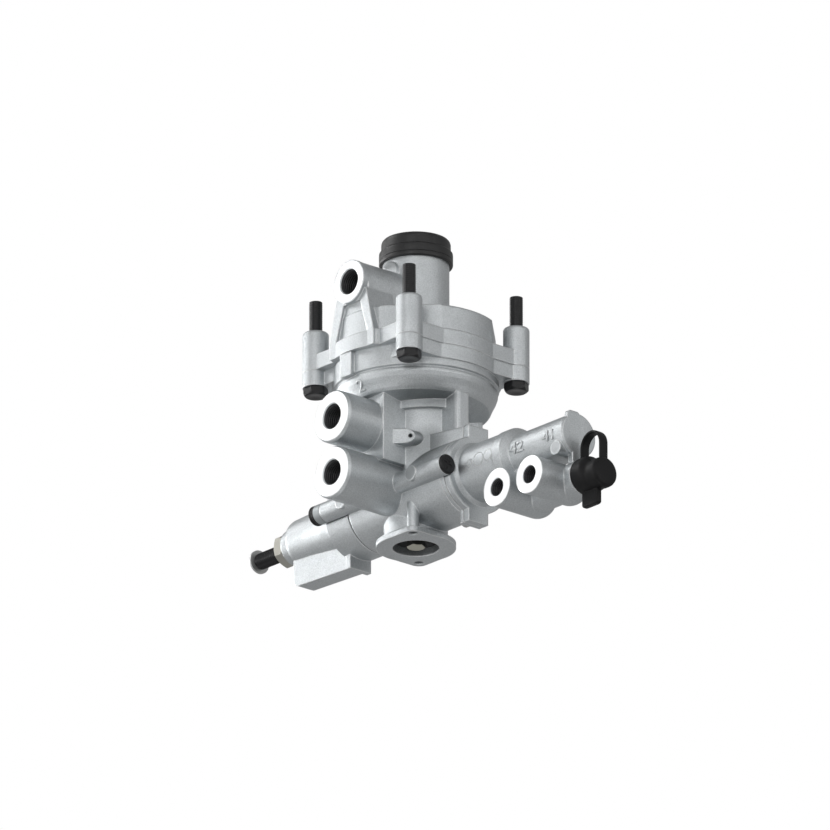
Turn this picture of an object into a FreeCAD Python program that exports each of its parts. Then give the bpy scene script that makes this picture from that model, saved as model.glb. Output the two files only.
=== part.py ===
import FreeCAD, Part
import math
import os
import re

import Sketcher
from FreeCAD import Rotation, Vector

# Load-dependent brake force regulator for an air-sprung trailer axle.
# Origin on the upright main axis, in the plane of the four ear tops that sit
# under the chassis bracket. +Z up, -Y the side of the delivery ports, +X along
# the slide bore towards the test connection. Millimetres.
SIZES = {
    # ears, flange and through bolts
    "stud_half": 42.04,
    "ear_radius": 7.85,
    "ear_foot": 0.5,
    "bolt_radius": 4.0,
    "bolt_clear": 0.4,
    "bolt_stand": 19.4,
    "bolt_tip_chamfer": 0.8,
    "bolt_neck": 0.25,
    "head_flats": 13.0,
    "head_height": 5.2,
    "arm_half": 47.0,
    "band_step": 1.5,
    "band_top": 16.0,
    "joint_drop": 25.5,
    "band_depth": 9.0,
    "skirt_step": 0.8,
    # upper cover
    "drum_step": 0.4,
    "drum_drop": 0.5,
    "ear_round": 2.0,
    "drum_round": 1.2,
    "flat_depth": 3.6,
    "drum_wall": 7.2,
    "roof_thick": 4.5,
    "tower_radius": 19.8,
    "tower_bore": 14.5,
    "tower_height": 53.0,
    "signal_level": 18.4,
    "signal_reach": 52.7,
    "signal_radius": 13.0,
    "signal_lip": 13.3,
    "frame_front": 50.6,
    "frame_foot_half": 19.6,
    "frame_leg": 5.6,
    "frame_recess": 2.0,
    "pad_radius": 52.6,
    "gusset_radius": 6.6,
    "gusset_level": 32.0,
    "gusset_reach": 25.5,
    # threaded ports
    "small_port": 7.3,
    "supply_port": 10.4,
    "load_port": 5.2,
    "port_chamfer": 1.0,
    # lower housing
    "skirt_height": 4.0,
    "groove_height": 2.1,
    "groove_depth": 0.9,
    "bowl_radius": 48.5,
    "floor_thick": 4.5,
    "bowl_taper": 4.7,
    "dish_rim": 10.8,
    "dish_drop": 2.6,
    "seat_wall": 2.6,
    "seat_depth": 8.0,
    "seat_step": 5.5,
    "bowl_shoulder": 7.4,
    "block_half": 16.4,
    "block_front": 39.8,
    "block_back": 38.0,
    "core_half": 45.5,
    "niche_corner": 12.3,
    "web_front": 7.3,
    "web_round": 2.4,
    "pocket_radius": 26.0,
    "pocket_across": 41.3,
    "pocket_back": 27.2,
    "web_level": 76.4,
    "pilaster_x": 1.7,
    "pilaster_y": 7.4,
    "pilaster_round": 33.3,
    "pilaster_half": 11.5,
    "pilaster_collar": 3.3,
    "collar_side": 1.8,
    "collar_height": 4.7,
    "lug_level": 78.6,
    "lug_half": 4.6,
    "lug_out": 9.0,
    "lug_front": 32.3,
    "lug_hole": 1.3,
    "lug_hole_in": 1.7,
    "lug_hole_deep": 8.0,
    "delivery_upper": 69.8,
    "delivery_lower": 104.9,
    "delivery_reach": 66.0,
    "delivery_radius": 16.0,
    "delivery_depth": 38.0,
    "supply_level": 74.0,
    "supply_reach": 58.0,
    "supply_radius": 17.0,
    "supply_depth": 34.0,
    "supply_neck": 6.0,
    "gallery_radius": 5.5,
    "gallery_front": 29.0,
    # slide bore and its housings
    "slide_level": 106.4,
    "slide_bore": 15.0,
    "slide_wall": 9.0,
    "slide_left": 34.0,
    "slide_right": 51.0,
    "collar_step": 0.3,
    "bar_half": 7.6,
    "bar_reach": 30.1,
    "bar_thick": 3.0,
    "seal_gap": 1.3,
    "spigot_wall": 2.5,
    "spigot_length": 5.0,
    "gasket_thick": 0.5,
    "screw_arm": 25.4,
    "small_screw": 3.0,
    "small_head": 4.2,
    "plate_length": 5.0,
    "side_clear": 0.4,
    "side_front": 26.0,
    "side_radius": 6.1,
    "side_bore": 4.0,
    "side_pad": 4.7,
    "side_pad_at": 32.2,
    "side_pad_rise": 0.6,
    "side_left": 50.4,
    "side_stand": 1.0,
    # exhaust neck and flange
    "exhaust_depth": 11.0,
    "exhaust_bore": 13.9,
    "vent_web": 4.6,
    "neck_wall": 5.0,
    "flange_radius": 23.7,
    "flange_thick": 3.2,
    "flange_hole": 3.2,
    "flange_hole_arm": 25.4,
    "flange_ear": 5.4,
    "screw_boss": 3.5,
    "vent_radius": 3.0,
    "vent_arm": 9.0,
    # spring housing
    "ring_length": 22.0,
    "barrel_taper": 3.0,
    "barrel_wall": 2.4,
    "barrel_round": 3.8,
    "barrel_end": 103.3,
    "hub_radius": 11.1,
    "hub_length": 7.2,
    "spring_bore": 12.6,
    "barrel_cap": 3.3,
    "lug_set": 6.2,
    "lug_thick": 3.6,
    "lug_depth": 30.8,
    "keel_set": 2.1,
    "keel_front": 8.0,
    "keel_back": 4.6,
    "keel_depth": 29.2,
    "keel_corner": 4.0,
    # adjusting screw and lock nut
    "screw_radius": 5.0,
    "screw_stand": 30.5,
    "disc_radius": 7.2,
    "disc_thick": 1.6,
    "nut_flats": 19.0,
    "nut_height": 7.0,
    # control housing
    "middle_wall": 3.6,
    "ring_step": 0.5,
    "middle_end": 88.0,
    "step_length": 8.0,
    "right_wall": 4.4,
    "right_end": 145.5,
    "large_bore": 14.0,
    "bore_step": 2.0,
    "small_bore": 9.0,
    "right_cap": 7.5,
    "load_drop": 27.7,
    "load_reach": 27.6,
    "load_radius": 11.6,
    "load_back": 4.0,
    "load_first": 103.7,
    "load_pitch": 28.8,
    "chamber_radius": 10.6,
    "chamber_stand": 3.5,
    "chamber_bore": 6.5,
    "relief_in": 14.3,
    "relief_out": 10.0,
    "relief_drop": 10.8,
    "pad_spot": 4.4,
    "top_lug_thick": 2.4,
    # rubber caps
    "cap_bottom": 40.6,
    "cap_ring": 22.0,
    "cap_ring_height": 7.9,
    "cap_radius": 20.7,
    "cap_roof": 3.4,
    "boot_radius": 11.0,
    "boot_length": 10.5,
    "knob_radius": 9.3,
    "knob_drop": 1.8,
    "cap_length": 21.0,
    "loop_rise": 15.2,
    "loop_wide": 6.0,
    "loop_thick": 1.8,
    "tab_drop": 20.0,
    "tab_half": 2.2,
    "tab_length": 13.6,
    "nipple_radius": 8.0,
    "nipple_length": 10.0,
    # pieces inside
    "running_fit": 0.05,
    "thread_fit": 0.02,
    "control_clear": 0.35,
    "control_top": 14.0,
    "control_thick": 5.0,
    "hub_radius_inner": 11.9,
    "hub_gap": 6.0,
    "boss_top": 10.0,
    "boss_radius": 15.5,
    "stem_radius": 8.0,
    "stem_top": 8.0,
    "rib_height": 5.0,
    "rib_thick": 2.2,
    "control_wire": 1.8,
    "control_coil": 11.4,
    "cap_screw_bottom": 45.0,
    "cap_screw_thick": 6.5,
    "diaphragm_thick": 1.4,
    "clamp_thick": 2.6,
    "clamp_width": 4.5,
    "vane_inner": 18.0,
    "fan_width": 8.0,
    "relay_clear": 0.3,
    "relay_travel": 4.0,
    "relay_thick": 6.0,
    "relay_stem": 5.0,
    "relay_hole": 2.4,
    "seat_bore": 6.6,
    "seat_drop": 12.5,
    "valve_bore": 9.0,
    "valve_web": 3.0,
    "valve_disc": 7.9,
    "valve_thick": 3.5,
    "valve_hole": 2.9,
    "valve_stem": 5.0,
    "stem_lap": 7.0,
    "guide_length": 18.4,
    "guide_radius": 6.4,
    "guide_flange": 5.0,
    "valve_wire": 1.5,
    "tappet_radius": 2.0,
    "tappet_hole": 2.3,
    "tappet_top": 21.0,
    "cam_left": 18.0,
    "cam_right": 34.0,
    "cam_start": 12.0,
    "cam_finish": 24.0,
    "cam_low": 2.0,
    "cam_high": 8.0,
    "cam_gap": 0.05,
    "load_wire": 2.4,
    "coil_gap": 2.8,
    "plate_room": 8.0,
    "plate_thick": 4.0,
    "large_head": 58.0,
    "large_rod": 6.0,
    "small_head_start": 100.0,
    "small_rod": 4.0,
    "head_thick": 8.0,
    "touch_gap": 0.05,
    "flap_drop": 6.0,
    "flap_thick": 2.0,
    "flap_clear": 0.5,
    "stub_flats": 10.0,
    "stub_height": 4.6,
    "shank_radius": 2.5,
    "sleeve_radius": 5.0,
    "plug_head": 7.4,
    "plug_ring": 3.0,
    "plug_shank": 7.0,
}
# lengths worked out in the sheet from the ones above
DERIVED = {
    "skirt_radius": "bowl_radius + skirt_step",
    "drum_radius": "skirt_radius + drum_step",
    "band_radius": "skirt_radius + band_step",
    "corner_flat": "drum_radius - flat_depth",
    "upper_bore": "drum_radius - drum_wall",
    "groove_radius": "bowl_radius - groove_depth",
    "bowl_foot": "bowl_radius - bowl_taper",
    "bowl_dish": "bowl_foot - dish_rim",
    "seat_radius": "groove_radius - seat_wall",
    "relay_bore": "seat_radius - seat_step",
    "clamp_inner": "seat_radius - clamp_width",
    "vane_rim": "seat_radius - fan_width",
    "band_bottom": "joint_drop + band_depth",
    "ear_drop": "band_bottom + ear_foot",
    "skirt_bottom": "band_bottom + skirt_height",
    "groove_bottom": "skirt_bottom + groove_height",
    "relay_floor": "groove_bottom + bowl_shoulder",
    "bowl_bottom": "relay_floor + floor_thick",
    "seat_level": "relay_floor + seat_drop",
    "relay_top": "relay_floor - relay_thick - relay_travel",
    "hub_bottom": "relay_top - hub_gap",
    "valve_floor": "slide_level - slide_bore - valve_web",
    "guide_top": "valve_floor - guide_length",
    "valve_stem_end": "guide_top + stem_lap",
    "slide_shell": "slide_bore + slide_wall",
    "collar_radius": "slide_shell - collar_step",
    "spigot_radius": "slide_bore + spigot_wall",
    "exhaust_roof": "slide_level + slide_bore + vent_web",
    "exhaust_level": "exhaust_roof + exhaust_depth",
    "flap_level": "exhaust_roof + flap_drop",
    "stub_end": "flap_level + stub_height",
    "neck_radius": "exhaust_bore + neck_wall",
    "barrel_tip": "spring_bore + barrel_wall",
    "barrel_root": "barrel_tip + barrel_taper",
    "load_coil": "spring_bore - coil_gap",
    "ring_left": "slide_left + ring_length",
    "hub_end": "barrel_end + hub_length",
    "spring_bore_end": "barrel_end - barrel_cap",
    "keel_left": "barrel_end - keel_set",
    "plate_right": "spring_bore_end - plate_room",
    "lug_right": "ring_left - lug_set",
    "lug_bottom": "slide_level + lug_depth",
    "keel_bottom": "slide_level + keel_depth",
    "screw_end": "hub_end + screw_stand",
    "plate_end": "slide_right + plate_length",
    "side_right": "plate_end + side_stand",
    "middle_radius": "large_bore + middle_wall",
    "ring_radius": "middle_radius + ring_step",
    "right_radius": "small_bore + right_wall",
    "ring_end": "middle_end + step_length",
    "large_bore_end": "middle_end - bore_step",
    "small_bore_end": "right_end - right_cap",
    "load_level": "slide_level + load_drop",
    "load_second": "load_first + load_pitch",
    "relief_left": "load_first + relief_in",
    "relief_right": "load_second + relief_out",
    "relief_level": "slide_level + relief_drop",
    "chamber_end": "right_end + chamber_stand",
    "nipple_end": "chamber_end + nipple_length",
    "knob_end": "chamber_end + cap_length",
    "cap_ring_top": "cap_bottom + cap_ring_height",
    "cap_screw_top": "cap_screw_bottom + cap_screw_thick",
}

doc = FreeCAD.newDocument("BrakeForceRegulator")
sheet = doc.addObject("Spreadsheet::Sheet", "Sizes")
CELLS = {**SIZES, **{alias: "=" + formula for alias, formula in DERIVED.items()}}
for row, (alias, value) in enumerate(CELLS.items(), 1):
    sheet.set(f"A{row}", alias)
    sheet.set(f"B{row}", str(value))
    sheet.setAlias(f"B{row}", alias)
doc.recompute()

TURN = {
    "x": Rotation(Vector(0, 1, 0), 90),
    "y": Rotation(Vector(1, 0, 0), -90),
    "z": Rotation(),
}
SLIDE = ("0", "-slide_level")
parts = []


def bound(text):
    """The sheet expression for a length written with bare size names."""
    words = re.split(r"([a-z][a-z0-9_]*)", text)
    return "".join("Sizes." + word if word in CELLS else word for word in words)


def size(text):
    """The present value of such a length."""
    value = sheet.evalExpression(bound(text))
    return float(getattr(value, "Value", value))


def bind(obj, **lengths):
    for prop, text in lengths.items():
        obj.setExpression(prop, bound(text))
    return obj


def put(obj, x, y, z):
    """Place an object's base point at sheet-driven coordinates."""
    for letter, text in zip("xyz", (x, y, z)):
        obj.setExpression("Placement.Base." + letter, bound(text))
    return obj


def along(axis, start, at):
    """Coordinates of a point `start` along an axis, `at` on the other two."""
    first, second = at
    if axis == "x":
        return start, first, second
    if axis == "y":
        return first, start, second
    return first, second, start


def rod(name, axis, start, end, radius, at=("0", "0")):
    """A round solid from start to end along an axis."""
    obj = doc.addObject("Part::Cylinder", name)
    obj.Placement.Rotation = TURN[axis]
    bind(obj, Radius=radius, Height=f"({end}) - ({start})")
    return put(obj, *along(axis, start, at))


def cone(name, axis, start, end, first, last, at=("0", "0")):
    """A tapered round solid from start to end along an axis."""
    obj = doc.addObject("Part::Cone", name)
    obj.Placement.Rotation = TURN[axis]
    bind(obj, Radius1=first, Radius2=last, Height=f"({end}) - ({start})")
    return put(obj, *along(axis, start, at))


def block(name, x, y, z):
    """A box between pairs of coordinates."""
    obj = doc.addObject("Part::Box", name)
    bind(
        obj,
        Length=f"({x[1]}) - ({x[0]})",
        Width=f"({y[1]}) - ({y[0]})",
        Height=f"({z[1]}) - ({z[0]})",
    )
    return put(obj, x[0], y[0], z[0])


def fuse(name, shapes):
    obj = doc.addObject("Part::MultiFuse", name)
    obj.Shapes = shapes
    obj.Refine = True
    return obj


def cut(name, base, tools):
    obj = doc.addObject("Part::Cut", name)
    obj.Base = base
    obj.Tool = tools[0] if len(tools) == 1 else fuse(name + "Cuts", tools)
    obj.Refine = True
    return obj


def common(name, shapes):
    obj = doc.addObject("Part::MultiCommon", name)
    obj.Shapes = shapes
    return obj


def rounded(name, base, edge, radius):
    """A solid with one edge rounded off; edge 3 of a round rod is its end circle."""
    doc.recompute()
    obj = doc.addObject("Part::Fillet", name)
    obj.Base = base
    obj.Edges = [(edge, size(radius), size(radius))]
    return obj


def part(label, obj):
    """Register an object as the sub-part of that name."""
    obj.Label = label
    parts.append(obj)
    return obj


def outline(body, name, plane, points, offset="0"):
    """A closed polygon sketch whose every corner is driven by the sheet."""
    sketch = body.newObject("Sketcher::SketchObject", name)
    planes = [o for o in body.Origin.OriginFeatures if o.Role == plane]
    sketch.AttachmentSupport = (planes[0], "")
    sketch.MapMode = "FlatFace"
    if offset != "0":
        sketch.setExpression("AttachmentOffset.Base.z", bound(offset))
    corners = [Vector(size(a), size(b), 0) for a, b in points]
    count = len(corners)
    for k in range(count):
        sketch.addGeometry(Part.LineSegment(corners[k], corners[(k + 1) % count]), False)
    for k in range(count):
        sketch.addConstraint(Sketcher.Constraint("Coincident", k, 2, (k + 1) % count, 1))
    for k, pair in enumerate(points):
        for kind, text, axis in zip(("DistanceX", "DistanceY"), pair, (-2, -1)):
            if text == "0":
                sketch.addConstraint(Sketcher.Constraint("PointOnObject", k, 1, axis))
                continue
            index = sketch.addConstraint(Sketcher.Constraint(kind, -1, 1, k, 1, size(text)))
            sketch.setExpression(f"Constraints[{index}]", bound(text))
    return sketch


def turned(name, axis, points, at=("0", "0", "0")):
    """A body turned about z (points are radius, height) or x (points are station, radius)."""
    body = doc.addObject("PartDesign::Body", name)
    sketch = outline(body, name + "Profile", "XZ_Plane", points)
    spin = body.newObject("PartDesign::Revolution", name + "Turn")
    spin.Profile = sketch
    spin.ReferenceAxis = (sketch, ["V_Axis" if axis == "z" else "H_Axis"])
    spin.Angle = 360
    return put(body, *at)


def prism(name, plane, points, start, length):
    """A body padded from a polygon; start and length run along the plane's normal."""
    body = doc.addObject("PartDesign::Body", name)
    sketch = outline(body, name + "Profile", plane, points, start)
    pad = body.newObject("PartDesign::Pad", name + "Pad")
    pad.Profile = sketch
    bind(pad, Length=length)
    return body


def corners():
    """The four ear positions, as sign pairs."""
    return [(sx, sy) for sx in ("-", "") for sy in ("-", "")]


def coil(name, axis, start, end, radius, wire, turns, at):
    """A helical spring between two stations, its ends lying inside them."""
    body = doc.addObject("Part::Helix", name + "Path")
    bind(body, Radius=radius, Pitch=f"(({end}) - ({start}) - {wire}) / {turns}",
         Height=f"({end}) - ({start}) - {wire}")
    ring = doc.addObject("Part::Circle", name + "Wire")
    ring.Placement.Rotation = Rotation(Vector(1, 0, 0), 90)
    bind(ring, Radius=f"{wire} / 2")
    put(ring, radius, "0", "0")
    sweep = doc.addObject("Part::Sweep", name)
    sweep.Sections = [ring]
    sweep.Spine = (body, ["Edge1"])
    sweep.Solid = True
    sweep.Frenet = True
    sweep.Placement.Rotation = TURN[axis]
    return put(sweep, *along(axis, f"({start}) + {wire} / 2", at))


# Upper cover: drum, flange band with its arms, ears, tower and signal port.
ear_adds = []
ear_bores = []
for sx, sy in corners():
    spot = (sx + "stud_half", sy + "stud_half")
    tag = ("W" if sx else "E") + ("S" if sy else "N")
    ear = rod("CoverEarRod" + tag, "z", "-joint_drop", "0", "ear_radius", spot)
    ear_adds.append(rounded("CoverEar" + tag, ear, 3, "ear_round"))
    ear_bores.append(rod("CoverBore" + tag, "z", "-joint_drop - 1", "1",
                         "bolt_radius + bolt_clear", spot))
# Four flats on the drum leave room for a spanner beside each ear.
flats = doc.addObject("Part::Box", "DrumFlats")
flats.Placement.Rotation = Rotation(Vector(0, 0, 1), 45)
bind(flats, Length="2 * corner_flat", Width="2 * corner_flat", Height="joint_drop")
put(flats, "0", "-corner_flat * 1.41421", "-joint_drop")
drum_rod = rod("DrumRod", "z", "-joint_drop", "-drum_drop", "drum_radius")
drum = common("Drum", [rounded("DrumRounded", drum_rod, 3, "drum_round"), flats])
# The signal boss stands on a block whose front is an A-shaped frame with a sunk panel.
frame_top = "signal_level - signal_radius / 2"
frame = prism("SignalFrame", "XZ_Plane", [
    ("-frame_foot_half", "-joint_drop"),
    ("frame_foot_half", "-joint_drop"),
    ("frame_foot_half", "-band_top"),
    ("signal_radius", frame_top),
    ("-signal_radius", frame_top),
    ("-frame_foot_half", "-band_top"),
], "30", "frame_front - 30")
panel = prism("SignalPanel", "XZ_Plane", [
    ("-frame_foot_half + frame_leg", "-band_top"),
    ("frame_foot_half - frame_leg", "-band_top"),
    ("signal_radius - frame_leg", "signal_level - signal_radius"),
    ("-signal_radius + frame_leg", "signal_level - signal_radius"),
], "frame_front - frame_recess", "frame_recess + 5")
frame_cut = cut("SignalFrameSunk", frame, [panel])
pad_core = rod("PadCore", "z", "-joint_drop", "-band_top", "pad_radius")
pad_limit = block("PadLimit", ("-frame_foot_half - 1", "frame_foot_half + 1"),
                  ("-pad_radius - 1", "-30"), ("-joint_drop", "-band_top"))
cover_body = fuse("CoverBody", [
    drum,
    rod("CoverBand", "z", "-joint_drop", "-band_top", "band_radius"),
    block("CoverSquare", ("-arm_half", "arm_half"), ("-arm_half", "arm_half"),
          ("-joint_drop", "-band_top")),
    *ear_adds,
    rod("Tower", "z", "-drum_drop - 1", "tower_height", "tower_radius"),
    rod("SignalBoss", "y", "-signal_reach + 4", "-10", "signal_radius", ("0", "signal_level")),
    cone("SignalFlare", "y", "-signal_reach + 2.5", "-signal_reach + 6", "signal_lip",
         "signal_radius", ("0", "signal_level")),
    rod("SignalLip", "y", "-signal_reach", "-signal_reach + 2.5", "signal_lip",
        ("0", "signal_level")),
    block("SignalBlock", ("-signal_radius", "signal_radius"), ("-frame_front + 2", "-10"),
          ("-drum_drop - 1", "signal_level")),
    frame_cut,
    common("SignalPad", [pad_core, pad_limit]),
    rod("Gusset", "y", "-gusset_reach + 4", "-10", "gusset_radius", ("0", "gusset_level")),
    cone("GussetNose", "y", "-gusset_reach", "-gusset_reach + 4", "1.5", "gusset_radius",
         ("0", "gusset_level")),
])
part("upper_cover", cut("UpperCover", cover_body, [
    rod("UpperChamber", "z", "-joint_drop - 1", "-drum_drop - roof_thick", "upper_bore"),
    rod("TowerBore", "z", "-drum_drop - roof_thick - 1", "tower_height + 1", "tower_bore"),
    rod("SignalBore", "y", "-signal_reach - 1", "-tower_bore + 2", "small_port",
        ("0", "signal_level")),
    cone("SignalSink", "y", "-signal_reach - 0.01", "-signal_reach + port_chamfer",
         "small_port + port_chamfer", "small_port", ("0", "signal_level")),
    *ear_bores,
]))

# Lower housing: turned bowl and skirt, square flange, port block, pockets round the bolts.
bowl = turned("Bowl", "z", [
    ("0", "-joint_drop"),
    ("skirt_radius", "-joint_drop"),
    ("skirt_radius", "-skirt_bottom"),
    ("groove_radius", "-skirt_bottom - 0.6"),
    ("groove_radius", "-groove_bottom + 0.6"),
    ("bowl_radius", "-groove_bottom"),
    ("bowl_radius", "-groove_bottom - 1.6"),
    ("bowl_radius - 0.9", "-groove_bottom - 4.2"),
    ("bowl_radius - 2.6", "-bowl_bottom + 4.4"),
    ("bowl_foot + 0.8", "-bowl_bottom + 1.2"),
    ("bowl_foot", "-bowl_bottom"),
    ("bowl_dish", "-bowl_bottom - dish_drop"),
    ("0", "-bowl_bottom - dish_drop"),
])
band_limit = block("BandLimit", ("-band_radius - 1", "band_radius + 1"),
                   ("-stud_half + ear_radius", "band_radius + 1"), ("-band_bottom", "-joint_drop"))
house_ears = []
house_bores = []
for sx, sy in corners():
    spot = (sx + "stud_half", sy + "stud_half")
    tag = ("W" if sx else "E") + ("S" if sy else "N")
    house_ears.append(rod("HouseEar" + tag, "z", "-ear_drop", "-joint_drop", "ear_radius", spot))
    house_bores.append(rod("HouseBore" + tag, "z", "-ear_drop - 1", "-joint_drop + 1",
                           "bolt_radius + bolt_clear", spot))
middle = block("MiddleBlock", ("-core_half", "core_half"), ("-block_front", "block_back"),
               ("-slide_level + 12", "-bowl_bottom + 1"))
pockets = []
for tag, sign in (("E", ""), ("W", "-")):
    pockets.append(prism("Niche" + tag, "XY_Plane", [
        (sign + "block_half", "-block_front - 5"),
        (sign + "block_half", "-web_front - niche_corner"),
        (sign + "(block_half + niche_corner)", "-web_front"),
        (sign + "(core_half - web_round)", "-web_front"),
        (sign + "(core_half - 0.3 * web_round)", "-web_front + 0.3 * web_round"),
        (sign + "core_half", "-web_front + web_round"),
        (sign + "(core_half + 5)", "-web_front + web_round"),
        (sign + "(core_half + 5)", "-block_front - 5"),
    ], "-slide_level", "slide_level - bowl_bottom + 1"))
    pockets.append(rod("Pocket" + tag, "z", "-slide_level", "-bowl_bottom + 1",
                       "pocket_radius", (sign + "pocket_across", "pocket_back")))
    for name, inner in (("PocketOut", "pocket_across"), ("PocketEnd", "block_half")):
        edges = sorted((sign + inner, sign + "(core_half + 5)"), key=size)
        pockets.append(block(name + tag, tuple(edges), ("pocket_back", "block_back + 5"),
                             ("-slide_level", "-bowl_bottom + 1")))
core = cut("PocketedBlock", middle, pockets)
web = prism("WebBlock", "XY_Plane", [
    ("-6", "9"),
    ("slide_right", "bar_half"),
    ("slide_right", "-bar_half"),
    ("31.3", "-12.7"),
    ("block_half", "-15.6"),
    ("-6", "-15.6"),
], "-slide_level", "slide_level - web_level")
lug = prism("ValveLug", "XY_Plane", [
    ("block_half - 2", "-lug_front - 2"),
    ("block_half + lug_out", "-lug_front + lug_out"),
    ("block_half + lug_out", "-web_front"),
    ("block_half - 2", "-web_front"),
], "-lug_level - lug_half", "2 * lug_half")
lug_round = fuse("LugRound", [
    rod("LugRod", "y", "-lug_front", "-web_front", "lug_half",
        ("block_half + lug_out - lug_half", "-lug_level")),
    block("LugFlat", ("block_half - 2", "block_half + lug_out - lug_half"),
          ("-lug_front - 2", "-web_front"),
          ("-lug_level - lug_half", "-lug_level + lug_half")),
])
# The oval exhaust flange: a disc with an ear at each screw hole, joined by tangent sides.
near_hole = ("flange_hole_arm * 0.7071", "-flange_hole_arm * 0.7071")
far_hole = ("-flange_hole_arm * 0.7071", "flange_hole_arm * 0.7071")


def flange_point(out, over):
    """A plan point `out` along the hole line and `over` square to it."""
    return f"({out}) * 0.7071 + ({over}) * 0.7071", f"-({out}) * 0.7071 + ({over}) * 0.7071"


flange_sides = prism("FlangeSides", "XY_Plane", [
    flange_point("flange_hole_arm + flange_ear * 0.71", "flange_ear * 0.71"),
    flange_point("flange_radius * 0.6", "flange_radius * 0.8"),
    flange_point("-flange_radius * 0.6", "flange_radius * 0.8"),
    flange_point("-flange_hole_arm - flange_ear * 0.71", "flange_ear * 0.71"),
    flange_point("-flange_hole_arm - flange_ear * 0.71", "-flange_ear * 0.71"),
    flange_point("-flange_radius * 0.6", "-flange_radius * 0.8"),
    flange_point("flange_radius * 0.6", "-flange_radius * 0.8"),
    flange_point("flange_hole_arm + flange_ear * 0.71", "-flange_ear * 0.71"),
], "-exhaust_level", "flange_thick")
exhaust_adds = [
    flange_sides,
    rod("FlangeDisc", "z", "-exhaust_level", "-exhaust_level + flange_thick", "flange_radius"),
    cone("NeckFlare", "z", "-exhaust_level + flange_thick", "-exhaust_level + flange_thick + 3",
         "flange_radius - 1.5", "neck_radius"),
    rod("Neck", "z", "-exhaust_level + flange_thick", "-slide_level", "neck_radius"),
]
for tag, spot in (("Near", near_hole), ("Far", far_hole)):
    exhaust_adds.append(rod("FlangeEar" + tag, "z", "-exhaust_level",
                            "-exhaust_level + flange_thick", "flange_ear", spot))
    exhaust_adds.append(rod("ScrewBoss" + tag, "z", "-exhaust_level + 1", "-slide_level - 9",
                            "screw_boss", spot))
neck_web = prism("NeckWeb", "XY_Plane", [
    flange_point("flange_hole_arm", "1.9"),
    flange_point("-flange_hole_arm", "1.9"),
    flange_point("-flange_hole_arm", "-1.9"),
    flange_point("flange_hole_arm", "-1.9"),
], "-exhaust_level + 1", "exhaust_level - slide_level - 12")


def delivery(tag, level):
    """One M16 delivery port: boss, chamfered rim and its bore."""
    at = ("0", "-" + level)
    adds = [
        rod("Delivery" + tag, "y", "-delivery_reach + 1.4", "-gallery_front + 13",
            "delivery_radius", at),
        cone("DeliveryRim" + tag, "y", "-delivery_reach", "-delivery_reach + 1.4",
             "delivery_radius - 1.1", "delivery_radius", at),
    ]
    cuts = [
        rod("DeliveryBore" + tag, "y", "-delivery_reach - 1", "-delivery_reach + delivery_depth",
            "small_port", at),
        cone("DeliverySink" + tag, "y", "-delivery_reach - 0.01",
             "-delivery_reach + port_chamfer", "small_port + port_chamfer", "small_port", at),
    ]
    return adds, cuts


def pilaster(name, bottom, radius, half):
    """A pillar with a rounded face across the niche corner, up to the bowl."""
    round_at = ("pilaster_x", "pilaster_y")
    face = rod(name + "Face", "z", bottom, "-bowl_bottom + 1", radius, round_at)
    strip = doc.addObject("Part::Box", name + "Strip")
    strip.Placement.Rotation = Rotation(Vector(0, 0, 1), -45)
    bind(strip, Length=f"{radius} + 5", Width=f"2 * ({half})",
         Height=f"-bowl_bottom + 1 - ({bottom})")
    put(strip, f"({round_at[0]}) - ({half}) * 0.7071", f"({round_at[1]}) - ({half}) * 0.7071",
        bottom)
    return common(name, [face, strip])


upper_adds, upper_cuts = delivery("Upper", "delivery_upper")
lower_adds, lower_cuts = delivery("Lower", "delivery_lower")
side_at = ("-side_front", "-slide_level")
house_body = fuse("HouseBody", [
    bowl,
    common("HouseBand", [
        rod("HouseRing", "z", "-band_bottom", "-joint_drop", "band_radius"), band_limit]),
    block("HouseSquare", ("-arm_half + 0.5", "arm_half - 0.5"), ("-stud_half", "stud_half"),
          ("-band_bottom", "-joint_drop")),
    *house_ears,
    block("SignalRib", ("-8.8", "1.1"), ("-pad_radius + 0.6", "-bowl_foot + 2"),
          ("-groove_bottom + 0.5", "-joint_drop")),
    core,
    web,
    common("LugBody", [lug, lug_round]),
    pilaster("Pilaster", "-slide_level", "pilaster_round", "pilaster_half"),
    pilaster("PilasterCollar", "-bowl_bottom - dish_drop - collar_height",
             "pilaster_round + pilaster_collar", "pilaster_half + collar_side"),
    *upper_adds,
    *lower_adds,
    rod("SupplyBoss", "y", "20", "supply_reach - 1.4", "supply_radius", ("0", "-supply_level")),
    cone("SupplyRim", "y", "supply_reach - 1.4", "supply_reach", "supply_radius",
         "supply_radius - 1.1", ("0", "-supply_level")),
    rod("SlideShell", "x", "-slide_left", "slide_right - bar_thick", "slide_shell", SLIDE),
    rod("RightCollar", "x", "slide_right - bar_thick", "slide_right", "collar_radius", SLIDE),
    block("RightBar", ("slide_right - bar_thick", "slide_right"), ("-bar_half", "bar_half"),
          ("-slide_level - bar_reach", "-slide_level + bar_reach")),
    rod("SideTube", "x", "-side_left", "side_right", "side_radius", side_at),
    rod("SidePadRight", "y", "-side_front - side_radius - side_pad_rise", "-side_front",
        "side_pad", ("side_pad_at", "-slide_level")),
    rod("SidePadLeft", "y", "-side_front - side_radius - side_pad_rise", "-side_front",
        "side_pad", ("-side_pad_at + 1.5", "-slide_level")),
    *exhaust_adds,
    neck_web,
])
vents = []
for k in range(4):
    turn = math.radians(45 + 90 * k)
    vents.append(rod(f"Vent{k}", "z", "-exhaust_roof - 1", "-slide_level", "vent_radius",
                     (f"vent_arm * {math.cos(turn):.4f}", f"vent_arm * {math.sin(turn):.4f}")))
flange_holes = []
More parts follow.
